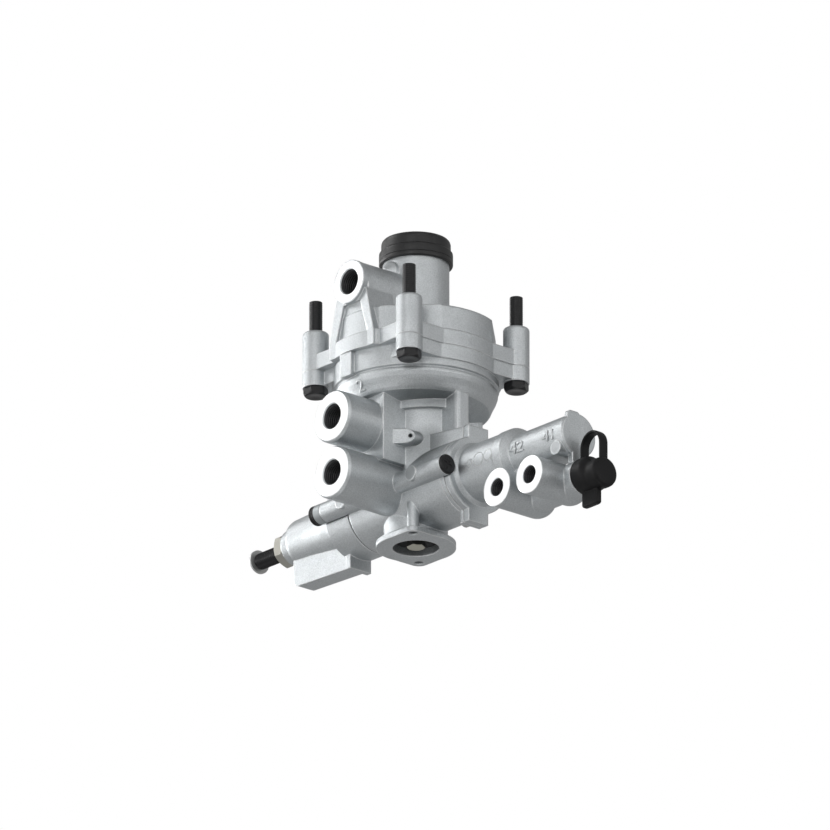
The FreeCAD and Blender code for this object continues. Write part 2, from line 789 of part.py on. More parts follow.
for tag, spot in (("Near", near_hole), ("Far", far_hole)):
    flange_holes.append(rod("FlangeHole" + tag, "z", "-exhaust_level - 1", "-exhaust_level + 12",
                            "flange_hole - 0.6", spot))
    flange_holes.append(cone("FlangeSink" + tag, "z", "-exhaust_level - 0.01",
                             "-exhaust_level + 0.6", "flange_hole", "flange_hole - 0.6", spot))
lug_drill = doc.addObject("Part::Cylinder", "LugDrill")
lug_drill.Placement.Rotation = Rotation(Vector(1, 1, 0), 90)
bind(lug_drill, Radius="lug_hole", Height="lug_hole_deep + 2")
put(lug_drill, "block_half + lug_out - lug_hole_in - lug_hole_deep * 0.7071",
    "-lug_front + lug_out - lug_hole_in + lug_hole_deep * 0.7071", "-lug_level")
bar_holes = []
for tag, sign in (("Top", ""), ("Bottom", "-")):
    at = ("0", f"-slide_level + {sign}screw_arm")
    bar_holes.append(rod("BarHole" + tag, "x", "slide_right - bar_thick - 1", "slide_right + 1",
                         "small_screw + bolt_clear", at))
    bar_holes.append(rod("BarSink" + tag, "x", "slide_right - bar_thick - small_head - 1",
                         "slide_right - bar_thick", "small_head + bolt_clear", at))
part("lower_housing", cut("LowerHousing", house_body, [
    rod("DiaphragmSeat", "z", "-joint_drop - seat_depth", "-joint_drop + 1", "seat_radius"),
    rod("RelayBore", "z", "-relay_floor", "-joint_drop - seat_depth + 1", "relay_bore"),
    rod("SeatBore", "z", "-seat_level - 1", "-relay_floor + 1", "seat_bore"),
    rod("ValveBore", "z", "-valve_floor", "-seat_level", "valve_bore"),
    rod("TappetBore", "z", "-slide_level", "-valve_floor + 1", "tappet_hole"),
    rod("SlideBore", "x", "-slide_left - 1", "slide_right + 1", "slide_bore", SLIDE),
    rod("SpigotBore", "x", "-slide_left - 1", "-slide_left + spigot_length + 1",
        "spigot_radius", SLIDE),
    rod("ExhaustBore", "z", "-exhaust_level - 1", "-exhaust_roof", "exhaust_bore"),
    rod("FlapThread", "z", "-exhaust_roof - 1", "-slide_level - slide_bore + 1",
        "shank_radius"),
    rod("Gallery", "z", "-delivery_lower", "-relay_floor + 1", "gallery_radius",
        ("0", "-gallery_front")),
    rod("SupplyBore", "y", "supply_reach - supply_depth", "supply_reach + 1", "supply_port",
        ("0", "-supply_level")),
    rod("SupplyNeck", "y", "valve_bore - 4", "supply_reach - supply_depth + 1", "supply_neck",
        ("0", "-supply_level")),
    cone("SupplySink", "y", "supply_reach - port_chamfer", "supply_reach + 0.01",
         "supply_port", "supply_port + port_chamfer", ("0", "-supply_level")),
    rod("SideBore", "x", "-side_left - 1", "side_right + 1", "side_bore", side_at),
    block("ScrewPocket", ("slide_right - 19", "slide_right - bar_thick"), ("-5.4", "bar_half + 3"),
          ("-slide_level + bar_reach - 9.6", "-slide_level + bar_reach + 1")),
    lug_drill,
    block("BarrelClear", ("-core_half - 1", "-slide_left"),
          ("-side_front + side_radius", "block_front"),
          ("-slide_level", "-slide_level + collar_radius + 1.2")),
    block("TubeClear", ("-core_half - 1", "-slide_left"), ("-block_front", "block_front"),
          ("-slide_level + side_radius", "-slide_level + collar_radius + 1.2")),
    *bar_holes,
    *vents,
    *flange_holes,
    *upper_cuts,
    *lower_cuts,
    *house_bores,
]))

# Spring housing: a turned barrel with a collar, a turning lug and a keel beneath.
barrel = turned("Barrel", "x", [
    ("-hub_end", "0"),
    ("-hub_end", "hub_radius - 0.8"),
    ("-hub_end + 0.8", "hub_radius"),
    ("-barrel_end", "hub_radius"),
    ("-barrel_end", "barrel_tip - barrel_round"),
    ("-barrel_end + barrel_round * 0.13", "barrel_tip - barrel_round * 0.5"),
    ("-barrel_end + barrel_round * 0.5", "barrel_tip - barrel_round * 0.13"),
    ("-barrel_end + barrel_round", "barrel_tip"),
    ("-barrel_end + 18", "barrel_tip + 0.6"),
    ("-ring_left - 1.5", "barrel_root"),
    ("-ring_left", "barrel_root + 1.5"),
    ("-ring_left", "collar_radius - 0.8"),
    ("-ring_left + 0.8", "collar_radius"),
    ("-slide_left - seal_gap", "collar_radius"),
    ("-slide_left - seal_gap", "spigot_radius - running_fit"),
    ("-slide_left + spigot_length", "spigot_radius - running_fit"),
    ("-slide_left + spigot_length", "0"),
], ("0", "0", "-slide_level"))
keel = prism("Keel", "XZ_Plane", [
    ("-keel_left + keel_corner", "-keel_bottom"),
    ("-lug_right - lug_thick / 2", "-lug_bottom"),
    ("-lug_right - lug_thick / 2", "-slide_level - spring_bore"),
    ("-keel_left", "-slide_level - spring_bore"),
    ("-keel_left", "-keel_bottom + keel_corner"),
    ("-keel_left + 0.3 * keel_corner", "-keel_bottom + 0.3 * keel_corner"),
], "-keel_back", "keel_front + keel_back")
side_relief = "side_radius + side_clear"
part("spring_housing", cut("SpringHousing", fuse("BarrelBody", [
    barrel,
    keel,
    block("TurningLug", ("-lug_right - lug_thick", "-lug_right"),
          ("-keel_front - 0.2", "keel_front + 0.2"),
          ("-lug_bottom", "lug_bottom - 2 * slide_level")),
]), [
    rod("SpringBore", "x", "-spring_bore_end", "-slide_left + spigot_length + 1", "spring_bore",
        SLIDE),
    rod("ScrewThread", "x", "-hub_end - 1", "-spring_bore_end + 1",
        "screw_radius + thread_fit", SLIDE),
    rod("SideReliefLeft", "x", "-side_left - plug_head - plug_ring - 1", "-slide_left",
        side_relief, side_at),
]))
seal_ring = turned("BarrelSealRing", "x", [
    ("-slide_left - seal_gap", "spigot_radius"),
    ("-slide_left - seal_gap", "collar_radius - 1.4"),
    ("-slide_left", "collar_radius - 1.4"),
    ("-slide_left", "spigot_radius"),
], ("0", "0", "-slide_level"))
part("barrel_seal", cut("BarrelSeal", seal_ring, [
    rod("SealRelief", "x", "-slide_left - seal_gap - 1", "-slide_left + 1", side_relief, side_at),
]))

# Adjusting screw with its end disc, the lock nut and the spring plate it pushes.
part("adjusting_screw", turned("AdjustingScrew", "x", [
    ("-screw_end", "0"),
    ("-screw_end", "screw_radius - 0.7"),
    ("-screw_end + 0.7", "screw_radius"),
    ("-plate_right - plate_thick - 3", "screw_radius"),
    ("-plate_right - plate_thick - touch_gap", "screw_radius - 1.5"),
    ("-plate_right - plate_thick - touch_gap", "0"),
], ("0", "0", "-slide_level")))
part("screw_disc", turned("ScrewDisc", "x", [
    ("-screw_end - disc_thick", "0"),
    ("-screw_end - disc_thick", "disc_radius - 0.4"),
    ("-screw_end - disc_thick + 0.4", "disc_radius"),
    ("-screw_end", "disc_radius"),
    ("-screw_end", "0"),
], ("0", "0", "-slide_level")))


def hexagon(name, axis, start, end, flats, at, chamfer="0.12"):
    """A hexagonal prism along an axis, its corners bevelled at both ends."""
    prism_obj = doc.addObject("Part::Prism", name + "Prism")
    prism_obj.Polygon = 6
    prism_obj.Placement.Rotation = TURN[axis]
    bind(prism_obj, Circumradius=f"({flats}) / 1.73205", Height=f"({end}) - ({start})")
    put(prism_obj, *along(axis, start, at))
    round_radius = f"({flats}) * 0.57"
    fall = f"({flats}) * {chamfer} / 2"
    bevel = fuse(name + "Bevel", [
        cone(name + "First", axis, start, f"({start}) + {fall}",
             f"({flats}) * 0.5", round_radius, at),
        rod(name + "Middle", axis, f"({start}) + {fall}", f"({end}) - {fall}",
            round_radius, at),
        cone(name + "Last", axis, f"({end}) - {fall}", end, round_radius,
             f"({flats}) * 0.5", at),
    ])
    return common(name, [prism_obj, bevel])


nut = hexagon("NutBlank", "x", "-hub_end - nut_height", "-hub_end - touch_gap", "nut_flats", SLIDE)
part("lock_nut", cut("LockNut", nut, [
    rod("NutThread", "x", "-hub_end - nut_height - 1", "-hub_end + 1",
        "screw_radius + thread_fit", SLIDE),
]))
part("spring_plate", turned("SpringPlate", "x", [
    ("-plate_right - plate_thick", "0"),
    ("-plate_right - plate_thick", "spring_bore - 0.9"),
    ("-plate_right - plate_thick + 0.6", "spring_bore - 0.3"),
    ("-plate_right", "spring_bore - 0.3"),
    ("-plate_right", "load_coil - load_wire"),
    ("-plate_right + 3", "load_coil - load_wire - 0.5"),
    ("-plate_right + 3", "0"),
], ("0", "0", "-slide_level")))
part("load_spring", coil("LoadSpring", "x", "-plate_right", "-cam_left", "load_coil", "load_wire",
                         11, SLIDE))

# Control housing: stepped tube, bar flange, the two load ports and the test chamber.
tube = turned("ControlTube", "x", [
    ("slide_right + gasket_thick", "0"),
    ("slide_right + gasket_thick", "collar_radius"),
    ("plate_end - 0.6", "collar_radius"),
    ("plate_end", "collar_radius - 0.6"),
    ("plate_end", "middle_radius + 2"),
    ("plate_end + 2", "middle_radius"),
    ("middle_end", "middle_radius"),
    ("middle_end", "ring_radius"),
    ("ring_end - 1.2", "ring_radius"),
    ("ring_end", "ring_radius - 1.2"),
    ("ring_end + 2", "right_radius"),
    ("right_end - 0.8", "right_radius"),
    ("right_end", "right_radius - 0.8"),
    ("right_end", "0"),
], ("0", "0", "-slide_level"))
load_at = ("0", "-load_level")
lug_top = "-slide_level + right_radius + 0.7"
control_adds = [
    tube,
    block("ControlBar", ("slide_right + gasket_thick", "plate_end"), ("-bar_half", "bar_half"),
          ("-slide_level - bar_reach", "-slide_level + bar_reach")),
    prism("TopLug", "YZ_Plane", [
        ("-9", "-slide_level"),
        ("-9", lug_top + " - 2.4"),
        ("-8.3", lug_top + " - 0.8"),
        ("-6.8", lug_top),
        ("-1.2", lug_top),
        ("0.3", lug_top + " - 0.8"),
        ("1", lug_top + " - 2.4"),
        ("1", "-slide_level"),
    ], "right_end - top_lug_thick", "top_lug_thick"),
    rod("SpotPad", "y", "-right_radius + 0.5", "0", "pad_spot",
        ("right_end - pad_spot - 2", "-slide_level - 9.2")),
    rod("TestChamber", "x", "load_first", "chamber_end", "chamber_radius", load_at),
    block("RingWeb", ("middle_end", "load_first"), ("-8", "8"), ("-load_level", "-slide_level")),
    block("EndWeb", ("relief_right - 1", "right_end"), ("-5", "5"),
          ("-load_level", "-slide_level")),
]
control_cuts = [
    rod("LargeBore", "x", "slide_right - 1", "large_bore_end", "large_bore", SLIDE),
    rod("SmallBore", "x", "large_bore_end - 1", "small_bore_end", "small_bore", SLIDE),
    rod("ChamberBore", "x", "load_second - 6", "chamber_end + 1", "chamber_bore", load_at),
    rod("SideReliefRight", "x", "slide_right", "side_right + 3", side_relief, side_at),
    rod("FirstDrillDown", "z", "-load_level", "-slide_level - 15.6", "1.5", ("load_first", "0")),
    rod("FirstDrillAcross", "x", "large_bore_end - 2", "load_first + 1", "1.5",
        ("0", "-slide_level - 16")),
    rod("FirstDrillUp", "z", "-slide_level - 16", "-slide_level - large_bore + 1", "1.4",
        ("large_bore_end - 2", "0")),
    rod("SecondDrillUp", "z", "-load_level", "-slide_level", "1.5",
        ("relief_right + 1", "0")),
    rod("SecondDrillAcross", "x", "small_bore_end - 1", "relief_right + 1.5", "1.5", SLIDE),
]
for tag, place in (("First", "load_first"), ("Second", "load_second")):
    at = (place, "-load_level")
    control_adds.append(rod("LoadBoss" + tag, "y", "-load_reach", "load_back", "load_radius", at))
    dome = doc.addObject("Part::Sphere", "LoadDome" + tag)
    bind(dome, Radius="load_radius")
    put(dome, place, "load_back", "-load_level")
    control_adds.append(dome)
    control_cuts.append(rod("LoadBore" + tag, "y", "-load_reach - 1", "0", "load_port", at))
    control_cuts.append(cone("LoadSink" + tag, "y", "-load_reach - 0.01", "-load_reach + 0.6",
                             "load_port + 0.6", "load_port", at))
for tag, sign in (("Top", ""), ("Bottom", "-")):
    control_cuts.append(rod("BarThread" + tag, "x", "slide_right", "plate_end - 0.9",
                            "small_screw", ("0", f"-slide_level + {sign}screw_arm")))
underside = block("TubeRelief", ("relief_left", "relief_right"),
                  ("-right_radius - 1", "right_radius + 1"),
                  ("-slide_level - right_radius - 1", "-relief_level"))
relieved = cut("RelievedTube", control_adds[0], [underside])
part("control_housing", cut("ControlHousing", fuse("ControlBody", [relieved, *control_adds[1:]]),
                            control_cuts))
part("control_gasket", cut("ControlGasket", rod(
    "GasketDisc", "x", "slide_right", "slide_right + gasket_thick",
    "screw_arm - small_screw - 0.3", SLIDE), [
        rod("GasketHole", "x", "slide_right - 1", "slide_right + 2", "slide_bore", SLIDE),
        rod("GasketRelief", "x", "slide_right - 1", "slide_right + 2", side_relief, side_at),
    ]))


def screw(tag, sign):
    """A socket screw that holds the control housing from behind its bar."""
    at = ("0", f"-slide_level + {sign}screw_arm")
    body = fuse("BarScrewBody" + tag, [
        rod("BarScrewShank" + tag, "x", "slide_right - bar_thick", "plate_end - 1.2",
            "small_screw - thread_fit", at),
        rod("BarScrewHead" + tag, "x", "slide_right - bar_thick - small_head",
            "slide_right - bar_thick", "small_head", at),
    ])
    socket = doc.addObject("Part::Prism", "BarScrewSocket" + tag)
    socket.Polygon = 6
    socket.Placement.Rotation = TURN["x"]
    bind(socket, Circumradius="small_head * 0.5", Height="small_head * 0.6")
    put(socket, *along("x", "slide_right - bar_thick - small_head", at))
    return cut("BarScrew" + tag, body, [socket])


pair = doc.addObject("Part::Compound", "BarScrews")
pair.Links = [screw("Top", ""), screw("Bottom", "-")]
part("bar_screws", pair)

# Load pistons: the large head pushes the cam slide, the small head pushes the large one.
part("large_piston", turned("LargePiston", "x", [
    ("cam_right + touch_gap", "0"),
    ("cam_right + touch_gap", "large_rod"),
    ("large_head - 2", "large_rod"),
    ("large_head", "large_bore - running_fit - 2"),
    ("large_head", "large_bore - running_fit"),
    ("large_head + 2.6", "large_bore - running_fit"),
    ("large_head + 2.6", "large_bore - 2.2"),
    ("large_head + 5.4", "large_bore - 2.2"),
    ("large_head + 5.4", "large_bore - running_fit"),
    ("large_head + head_thick", "large_bore - running_fit"),
    ("large_head + head_thick", "0"),
], ("0", "0", "-slide_level")))
part("large_seal", turned("LargeSeal", "x", [
    ("large_head + 2.6", "large_bore - 2.2"),
    ("large_head + 2.6", "large_bore - running_fit"),
    ("large_head + 5.4", "large_bore - running_fit"),
    ("large_head + 5.4", "large_bore - 2.2"),
], ("0", "0", "-slide_level")))
part("small_piston", turned("SmallPiston", "x", [
    ("large_head + head_thick + touch_gap", "0"),
    ("large_head + head_thick + touch_gap", "small_rod"),
    ("small_head_start - 2", "small_rod"),
    ("small_head_start", "small_bore - running_fit - 1"),
    ("small_head_start", "small_bore - running_fit"),
    ("small_head_start + 2.6", "small_bore - running_fit"),
    ("small_head_start + 2.6", "small_bore - 1.9"),
    ("small_head_start + 5.4", "small_bore - 1.9"),
    ("small_head_start + 5.4", "small_bore - running_fit"),
    ("small_head_start + head_thick", "small_bore - running_fit"),
    ("small_head_start + head_thick", "0"),
], ("0", "0", "-slide_level")))
part("small_seal", turned("SmallSeal", "x", [
    ("small_head_start + 2.6", "small_bore - 1.9"),
    ("small_head_start + 2.6", "small_bore - running_fit"),
    ("small_head_start + 5.4", "small_bore - running_fit"),
    ("small_head_start + 5.4", "small_bore - 1.9"),
], ("0", "0", "-slide_level")))

# Cam slide with its sloping top, and the tappet that stands on it.
slide_rod = rod("SlideRod", "x", "-cam_left", "cam_right", "slide_bore - running_fit", SLIDE)
slope = prism("CamSlope", "XZ_Plane", [
    ("-cam_start", "cam_low - slide_level"),
    ("cam_finish", "cam_high - slide_level"),
    ("cam_finish", "slide_bore + 2 - slide_level"),
    ("-cam_start", "slide_bore + 2 - slide_level"),
], "-slide_bore - 1", "2 * slide_bore + 2")
part("cam_slide", cut("CamSlide", slide_rod, [
    slope,
    rod("SlideVent", "x", "-cam_left - 1", "cam_right + 1", "1.5", ("-9", "-slide_level - 6")),
]))
cam_slope = "(cam_high - cam_low) / (cam_start + cam_finish)"
cam_here = f"cam_low + cam_start * {cam_slope} - slide_level"
tip_level = f"{cam_here} + tappet_radius * 1.014 + cam_gap"
tip = doc.addObject("Part::Sphere", "TappetTip")
bind(tip, Radius="tappet_radius")
put(tip, "0", "0", tip_level)
part("tappet", fuse("Tappet", [
    tip,
    rod("TappetRod", "z", tip_level, "-tappet_top - 0.6", "tappet_radius"),
    cone("TappetEnd", "z", "-tappet_top - 0.6", "-tappet_top", "tappet_radius",
         "tappet_radius - 0.6"),
]))

# Control piston with radial ribs, its diaphragm, clamp ring and fan ring.
control_body = turned("ControlBodyTurned", "z", [
    ("0", "-control_top - 2"),
    ("tappet_radius + 1", "-control_top - 2"),
    ("tappet_radius + 1", "-hub_bottom"),
    ("hub_radius_inner", "-hub_bottom"),
    ("hub_radius_inner", "-control_top - control_thick"),
    ("upper_bore - control_clear", "-control_top - control_thick"),
    ("upper_bore - control_clear", "-control_top"),
    ("boss_radius", "-control_top"),
    ("boss_radius", "-boss_top"),
    ("stem_radius", "-boss_top"),
    ("stem_radius", "stem_top"),
    ("0", "stem_top"),
])
ribs = []
rib_bodies = []
for k in range(6):
    rib = doc.addObject("Part::Box", f"ControlRib{k}")
    turn = 30.0 * k
    rib.Placement.Rotation = Rotation(Vector(0, 0, 1), turn)
    bind(rib, Length="2 * (upper_bore - 4)", Width="rib_thick", Height="rib_height")
    reach = math.radians(turn)
    put(rib, f"-(upper_bore - 4) * {math.cos(reach):.5f} + rib_thick / 2 * {math.sin(reach):.5f}",
        f"-(upper_bore - 4) * {math.sin(reach):.5f} - rib_thick / 2 * {math.cos(reach):.5f}",
        "-control_top - control_thick - rib_height")
    ribs.append(rib)
part("control_piston", cut("ControlPiston", fuse("ControlRibbed", [control_body, *ribs]), [
    rod("PistonHole", "z", "-hub_bottom - 1", "-control_top - 2", "tappet_radius + 1"),
]))
clamp_bottom = "-joint_drop - clamp_thick"
part("clamp_ring", turned("ClampRing", "z", [
    ("clamp_inner", clamp_bottom),
    ("seat_radius - running_fit", clamp_bottom),
    ("seat_radius - running_fit", "-joint_drop"),
    ("clamp_inner", "-joint_drop"),
]))
part("diaphragm", turned("Diaphragm", "z", [
    ("hub_radius_inner + running_fit", clamp_bottom + " - diaphragm_thick"),
    ("seat_radius - running_fit", clamp_bottom + " - diaphragm_thick"),
    ("seat_radius - running_fit", clamp_bottom),
    ("hub_radius_inner + running_fit", clamp_bottom),
]))
fan_rim = turned("FanRim", "z", [
    ("vane_rim", "-joint_drop - seat_depth"),
    ("seat_radius - running_fit", "-joint_drop - seat_depth"),
    ("seat_radius - running_fit", clamp_bottom + " - diaphragm_thick"),
    ("vane_rim", clamp_bottom + " - diaphragm_thick"),
])
vanes = []
for k in range(12):
    vane = doc.addObject("Part::Box", f"Vane{k}")
    turn = 15.0 + 30.0 * k
    vane.Placement.Rotation = Rotation(Vector(0, 0, 1), turn)
    bind(vane, Length="vane_rim + 1 - vane_inner", Width="rib_thick",
         Height="seat_depth - clamp_thick - diaphragm_thick - 0.3")
    reach = math.radians(turn)
    put(vane, f"vane_inner * {math.cos(reach):.5f} + rib_thick / 2 * {math.sin(reach):.5f}",
        f"vane_inner * {math.sin(reach):.5f} - rib_thick / 2 * {math.cos(reach):.5f}",
        "-joint_drop - seat_depth")
    vanes.append(vane)
part("fan_ring", fuse("FanRing", [fan_rim, *vanes]))
part("control_spring", coil("ControlSpring", "z", "-boss_top", "cap_screw_bottom",
                            "control_coil", "control_wire", 9, ("0", "0")))
cap_screw = rod("CapScrewDisc", "z", "cap_screw_bottom", "cap_screw_top",
                "tower_bore - thread_fit")
cap_socket = doc.addObject("Part::Prism", "CapSocket")
cap_socket.Polygon = 6
bind(cap_socket, Circumradius="tower_bore * 0.4", Height="4.1")
put(cap_socket, "0", "0", "cap_screw_top - 4")
part("tower_screw", cut("TowerScrew", cap_screw, [cap_socket]))
part("tower_cap", turned("TowerCap", "z", [
    ("0", "tower_height + 0.2"),
    ("tower_radius + running_fit", "tower_height + 0.2"),
    ("tower_radius + running_fit", "cap_bottom"),
    ("cap_ring - 0.5", "cap_bottom"),
    ("cap_ring", "cap_bottom + 0.6"),
    ("cap_ring", "cap_ring_top - 0.5"),
    ("cap_ring - 0.5", "cap_ring_top"),
    ("cap_radius - 0.3", "cap_ring_top"),
    ("cap_radius - 0.3", "cap_ring_top + 0.4"),
    ("cap_radius", "cap_ring_top + 0.4"),
    ("cap_radius", "tower_height + cap_roof - 2.4"),
    ("cap_radius - 0.7", "tower_height + cap_roof - 0.7"),
    ("cap_radius - 2.4", "tower_height + cap_roof"),
    ("0", "tower_height + cap_roof"),
]))

# Relay piston, its seal, the inlet valve, valve guide and valve spring.
relay_bottom = "-relay_top - relay_thick"
valve_top = "-seat_level"
part("relay_piston", turned("RelayPiston", "z", [
    ("relay_hole", "-relay_top"),
    ("relay_bore - relay_clear", "-relay_top"),
    ("relay_bore - relay_clear", "-relay_top - 2"),
    ("relay_bore - 2.4", "-relay_top - 2"),
    ("relay_bore - 2.4", "-relay_top - 4"),
    ("relay_bore - relay_clear", "-relay_top - 4"),
    ("relay_bore - relay_clear", relay_bottom),
    ("relay_stem + 2", relay_bottom),
    ("relay_stem", relay_bottom + " - 2"),
    ("relay_stem", valve_top + " + touch_gap"),
    ("relay_hole", valve_top + " + touch_gap"),
]))
part("relay_seal", turned("RelaySeal", "z", [
    ("relay_bore - 2.4", "-relay_top - 4"),
    ("relay_bore - 0.1", "-relay_top - 4"),
    ("relay_bore - 0.1", "-relay_top - 2"),
    ("relay_bore - 2.4", "-relay_top - 2"),
]))
part("inlet_valve", turned("InletValve", "z", [
    ("valve_hole", valve_top),
    ("valve_disc", valve_top),
    ("valve_disc", valve_top + " - valve_thick"),
    ("valve_stem", valve_top + " - valve_thick"),
    ("valve_stem", "-valve_stem_end"),
    ("valve_hole", "-valve_stem_end"),
]))
guide_top_face = "-valve_floor + guide_flange"
part("valve_guide", turned("ValveGuide", "z", [
    ("tappet_hole", "-valve_floor"),
    ("valve_bore - running_fit", "-valve_floor"),
    ("valve_bore - running_fit", guide_top_face),
    ("guide_radius", guide_top_face),
    ("guide_radius", "-guide_top"),
    ("valve_stem + running_fit", "-guide_top"),
    ("valve_stem + running_fit", guide_top_face),
    ("tappet_hole", guide_top_face),
]))
part("valve_spring", coil("ValveSpring", "z", guide_top_face, valve_top + " - valve_thick",
                          "guide_radius + valve_wire * 0.9", "valve_wire", 5, ("0", "0")))

# Exhaust flap under the vent web, held by a screw with a hexagonal stub.
flap_at = ("0", "0")
part("exhaust_flap", cut("ExhaustFlap", rod(
    "FlapDisc", "z", "-flap_level", "-flap_level + flap_thick", "exhaust_bore - flap_clear"), [
        rod("FlapHole", "z", "-flap_level - 1", "-flap_level + flap_thick + 1", "shank_radius"),
    ]))
part("flap_sleeve", cut("FlapSleeve", rod(
    "SleeveRod", "z", "-flap_level + flap_thick", "-exhaust_roof", "sleeve_radius"), [
        rod("SleeveHole", "z", "-flap_level", "-exhaust_roof + 1", "shank_radius"),
    ]))
part("flap_screw", fuse("FlapScrew", [
    hexagon("StubHex", "z", "-stub_end", "-flap_level", "stub_flats", flap_at),
    rod("StubShank", "z", "-flap_level", "-slide_level - slide_bore - 0.8",
        "shank_radius - thread_fit"),
]))

# Plugs of the side passage, the test connection and its rubber boot.
part("side_plug_left", fuse("SidePlugLeft", [
    rod("LeftPlugHead", "x", "-side_left - plug_head", "-side_left - 0.4", "side_radius", side_at),
    rod("LeftPlugNeck", "x", "-side_left - 0.4", "-side_left", "side_radius - 0.7", side_at),
    rod("LeftPlugShank", "x", "-side_left", "-side_left + plug_shank", "side_bore - running_fit",
        side_at),
]))
part("side_ring_left", turned("SideRingLeft", "x", [
    ("-side_left - plug_head - plug_ring", "0"),
    ("-side_left - plug_head - plug_ring", "side_radius - 1"),
    ("-side_left - plug_head - plug_ring + 0.8", "side_radius"),
    ("-side_left - plug_head", "side_radius"),
    ("-side_left - plug_head", "0"),
], ("0", "-side_front", "-slide_level")))
part("side_plug_right", turned("SidePlugRight", "x", [
    ("side_right - plug_shank", "0"),
    ("side_right - plug_shank", "side_bore - running_fit"),
    ("side_right", "side_bore - running_fit"),
    ("side_right", "side_radius"),
    ("side_right + 0.9", "side_radius"),
    ("side_right + 1.7", "side_radius - 1.2"),
    ("side_right + 1.7", "0"),
], ("0", "-side_front", "-slide_level")))
part("test_connection", turned("TestConnection", "x", [
    ("load_second + 6", "2"),
    ("load_second + 6", "chamber_bore - thread_fit"),
    ("chamber_end", "chamber_bore - thread_fit"),
    ("chamber_end", "nipple_radius"),
    ("nipple_end - 1", "nipple_radius"),
    ("nipple_end", "nipple_radius - 1"),
    ("nipple_end", "2"),
], ("0", "0", "-load_level")))
boot_end = "chamber_end + boot_length"
arch = "-load_level + boot_radius + loop_rise"
loop = prism("BootLoop", "XZ_Plane", [
    ("chamber_end + 0.6", "-load_level"),
    ("knob_end - 2", "-load_level"),
    ("knob_end - 2", arch + " - 7"),
    ("knob_end - 2.6", arch + " - 4.2"),
    ("knob_end - 4.2", arch + " - 1.9"),
    ("knob_end - 6.6", arch + " - 0.5"),
    ("knob_end - 9.6", arch),
    ("chamber_end + 9.2", arch),
    ("chamber_end + 5.6", arch + " - 0.6"),
    ("chamber_end + 3", arch + " - 2.2"),
    ("chamber_end + 1.3", arch + " - 4.6"),
    ("chamber_end + 0.6", arch + " - 7.6"),
], "-loop_wide / 2", "loop_wide")
slot = prism("BootSlot", "XZ_Plane", [
    ("chamber_end + 0.6 + loop_thick", "-load_level + boot_radius"),
    ("knob_end - 2 - loop_thick", "-load_level + boot_radius"),
    ("knob_end - 2 - loop_thick", arch + " - 7.4"),
    ("knob_end - 5.6", arch + " - 3.4"),
    ("knob_end - 9.6", arch + " - loop_thick"),
    ("chamber_end + 9.2", arch + " - loop_thick"),
    ("chamber_end + 4.6", arch + " - 3.6"),
    ("chamber_end + 0.6 + loop_thick", arch + " - 7.9"),
], "-loop_wide / 2 - 1", "loop_wide + 2")
tab = prism("BootTab", "XZ_Plane", [
    ("chamber_end + 0.9", "-load_level"),
    ("chamber_end + 0.9", "-load_level - tab_drop + 1.6"),
    ("chamber_end + 2.3", "-load_level - tab_drop"),
    ("chamber_end + tab_length - 1", "-load_level - tab_drop"),
    ("chamber_end + tab_length + 0.9", "-load_level - tab_drop + 1.9"),
    ("chamber_end + tab_length + 0.9", "-load_level"),
], "-tab_half", "2 * tab_half")
part("test_cap", cut("TestCap", fuse("BootBody", [
    turned("Boot", "x", [
        ("chamber_end + 0.3", "0"),
        ("chamber_end + 0.3", "boot_radius - 0.8"),
        ("chamber_end + 1.1", "boot_radius"),
        (boot_end + " - 1", "boot_radius"),
        (boot_end, "boot_radius - 1"),
        (boot_end, "0"),
    ], ("0", "0", "-load_level")),
    turned("Knob", "x", [
        ("chamber_end + 5", "0"),
        ("chamber_end + 5", "knob_radius"),
        ("knob_end - 2", "knob_radius"),
        ("knob_end - 0.6", "knob_radius - 0.7"),
        ("knob_end", "knob_radius - 2.2"),
        ("knob_end", "0"),
    ], ("0", "0", "-load_level - knob_drop")),
    loop,
    tab,
]), [
    slot,
    rod("BootBore", "x", "chamber_end", "nipple_end + 0.3", "nipple_radius + running_fit",
        load_at),
]))

# Through bolts: four alike, heads below the ears, threads standing up out of them.
bolts = []
for sx, sy in corners():
    spot = (sx + "stud_half", sy + "stud_half")
    tag = ("W" if sx else "E") + ("S" if sy else "N")
    bolts.append(fuse("Bolt" + tag, [
        hexagon("BoltHead" + tag, "z", "-ear_drop - head_height", "-ear_drop", "head_flats", spot,
                "0.2"),
        rod("BoltShank" + tag, "z", "-ear_drop", "0", "bolt_radius - bolt_neck", spot),
        rod("BoltThread" + tag, "z", "0", "bolt_stand - bolt_tip_chamfer", "bolt_radius", spot),
        cone("BoltTip" + tag, "z", "bolt_stand - bolt_tip_chamfer", "bolt_stand", "bolt_radius",
             "bolt_radius - bolt_tip_chamfer", spot),
    ]))
four = doc.addObject("Part::Compound", "ThroughBolts")
four.Links = bolts
part("through_bolts", four)

doc.recompute()
faults = [o.Name for o in doc.Objects if {"Invalid", "Error"} & set(o.State)]
for obj in parts:
    if obj.Shape.isNull() or not obj.Shape.isValid() or not obj.Shape.Solids:
        faults.append(obj.Label)
if faults:
    raise RuntimeError("these objects failed: " + ", ".join(faults))
os.makedirs("parts", exist_ok=True)
for obj in parts:
    obj.Shape.exportStep(f"parts/{obj.Label}.step")
    print(obj.Label, len(obj.Shape.Solids), round(obj.Shape.Volume, 1))
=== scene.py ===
import math

import bmesh
import bpy
import numpy as np
from mathutils import Matrix, Vector


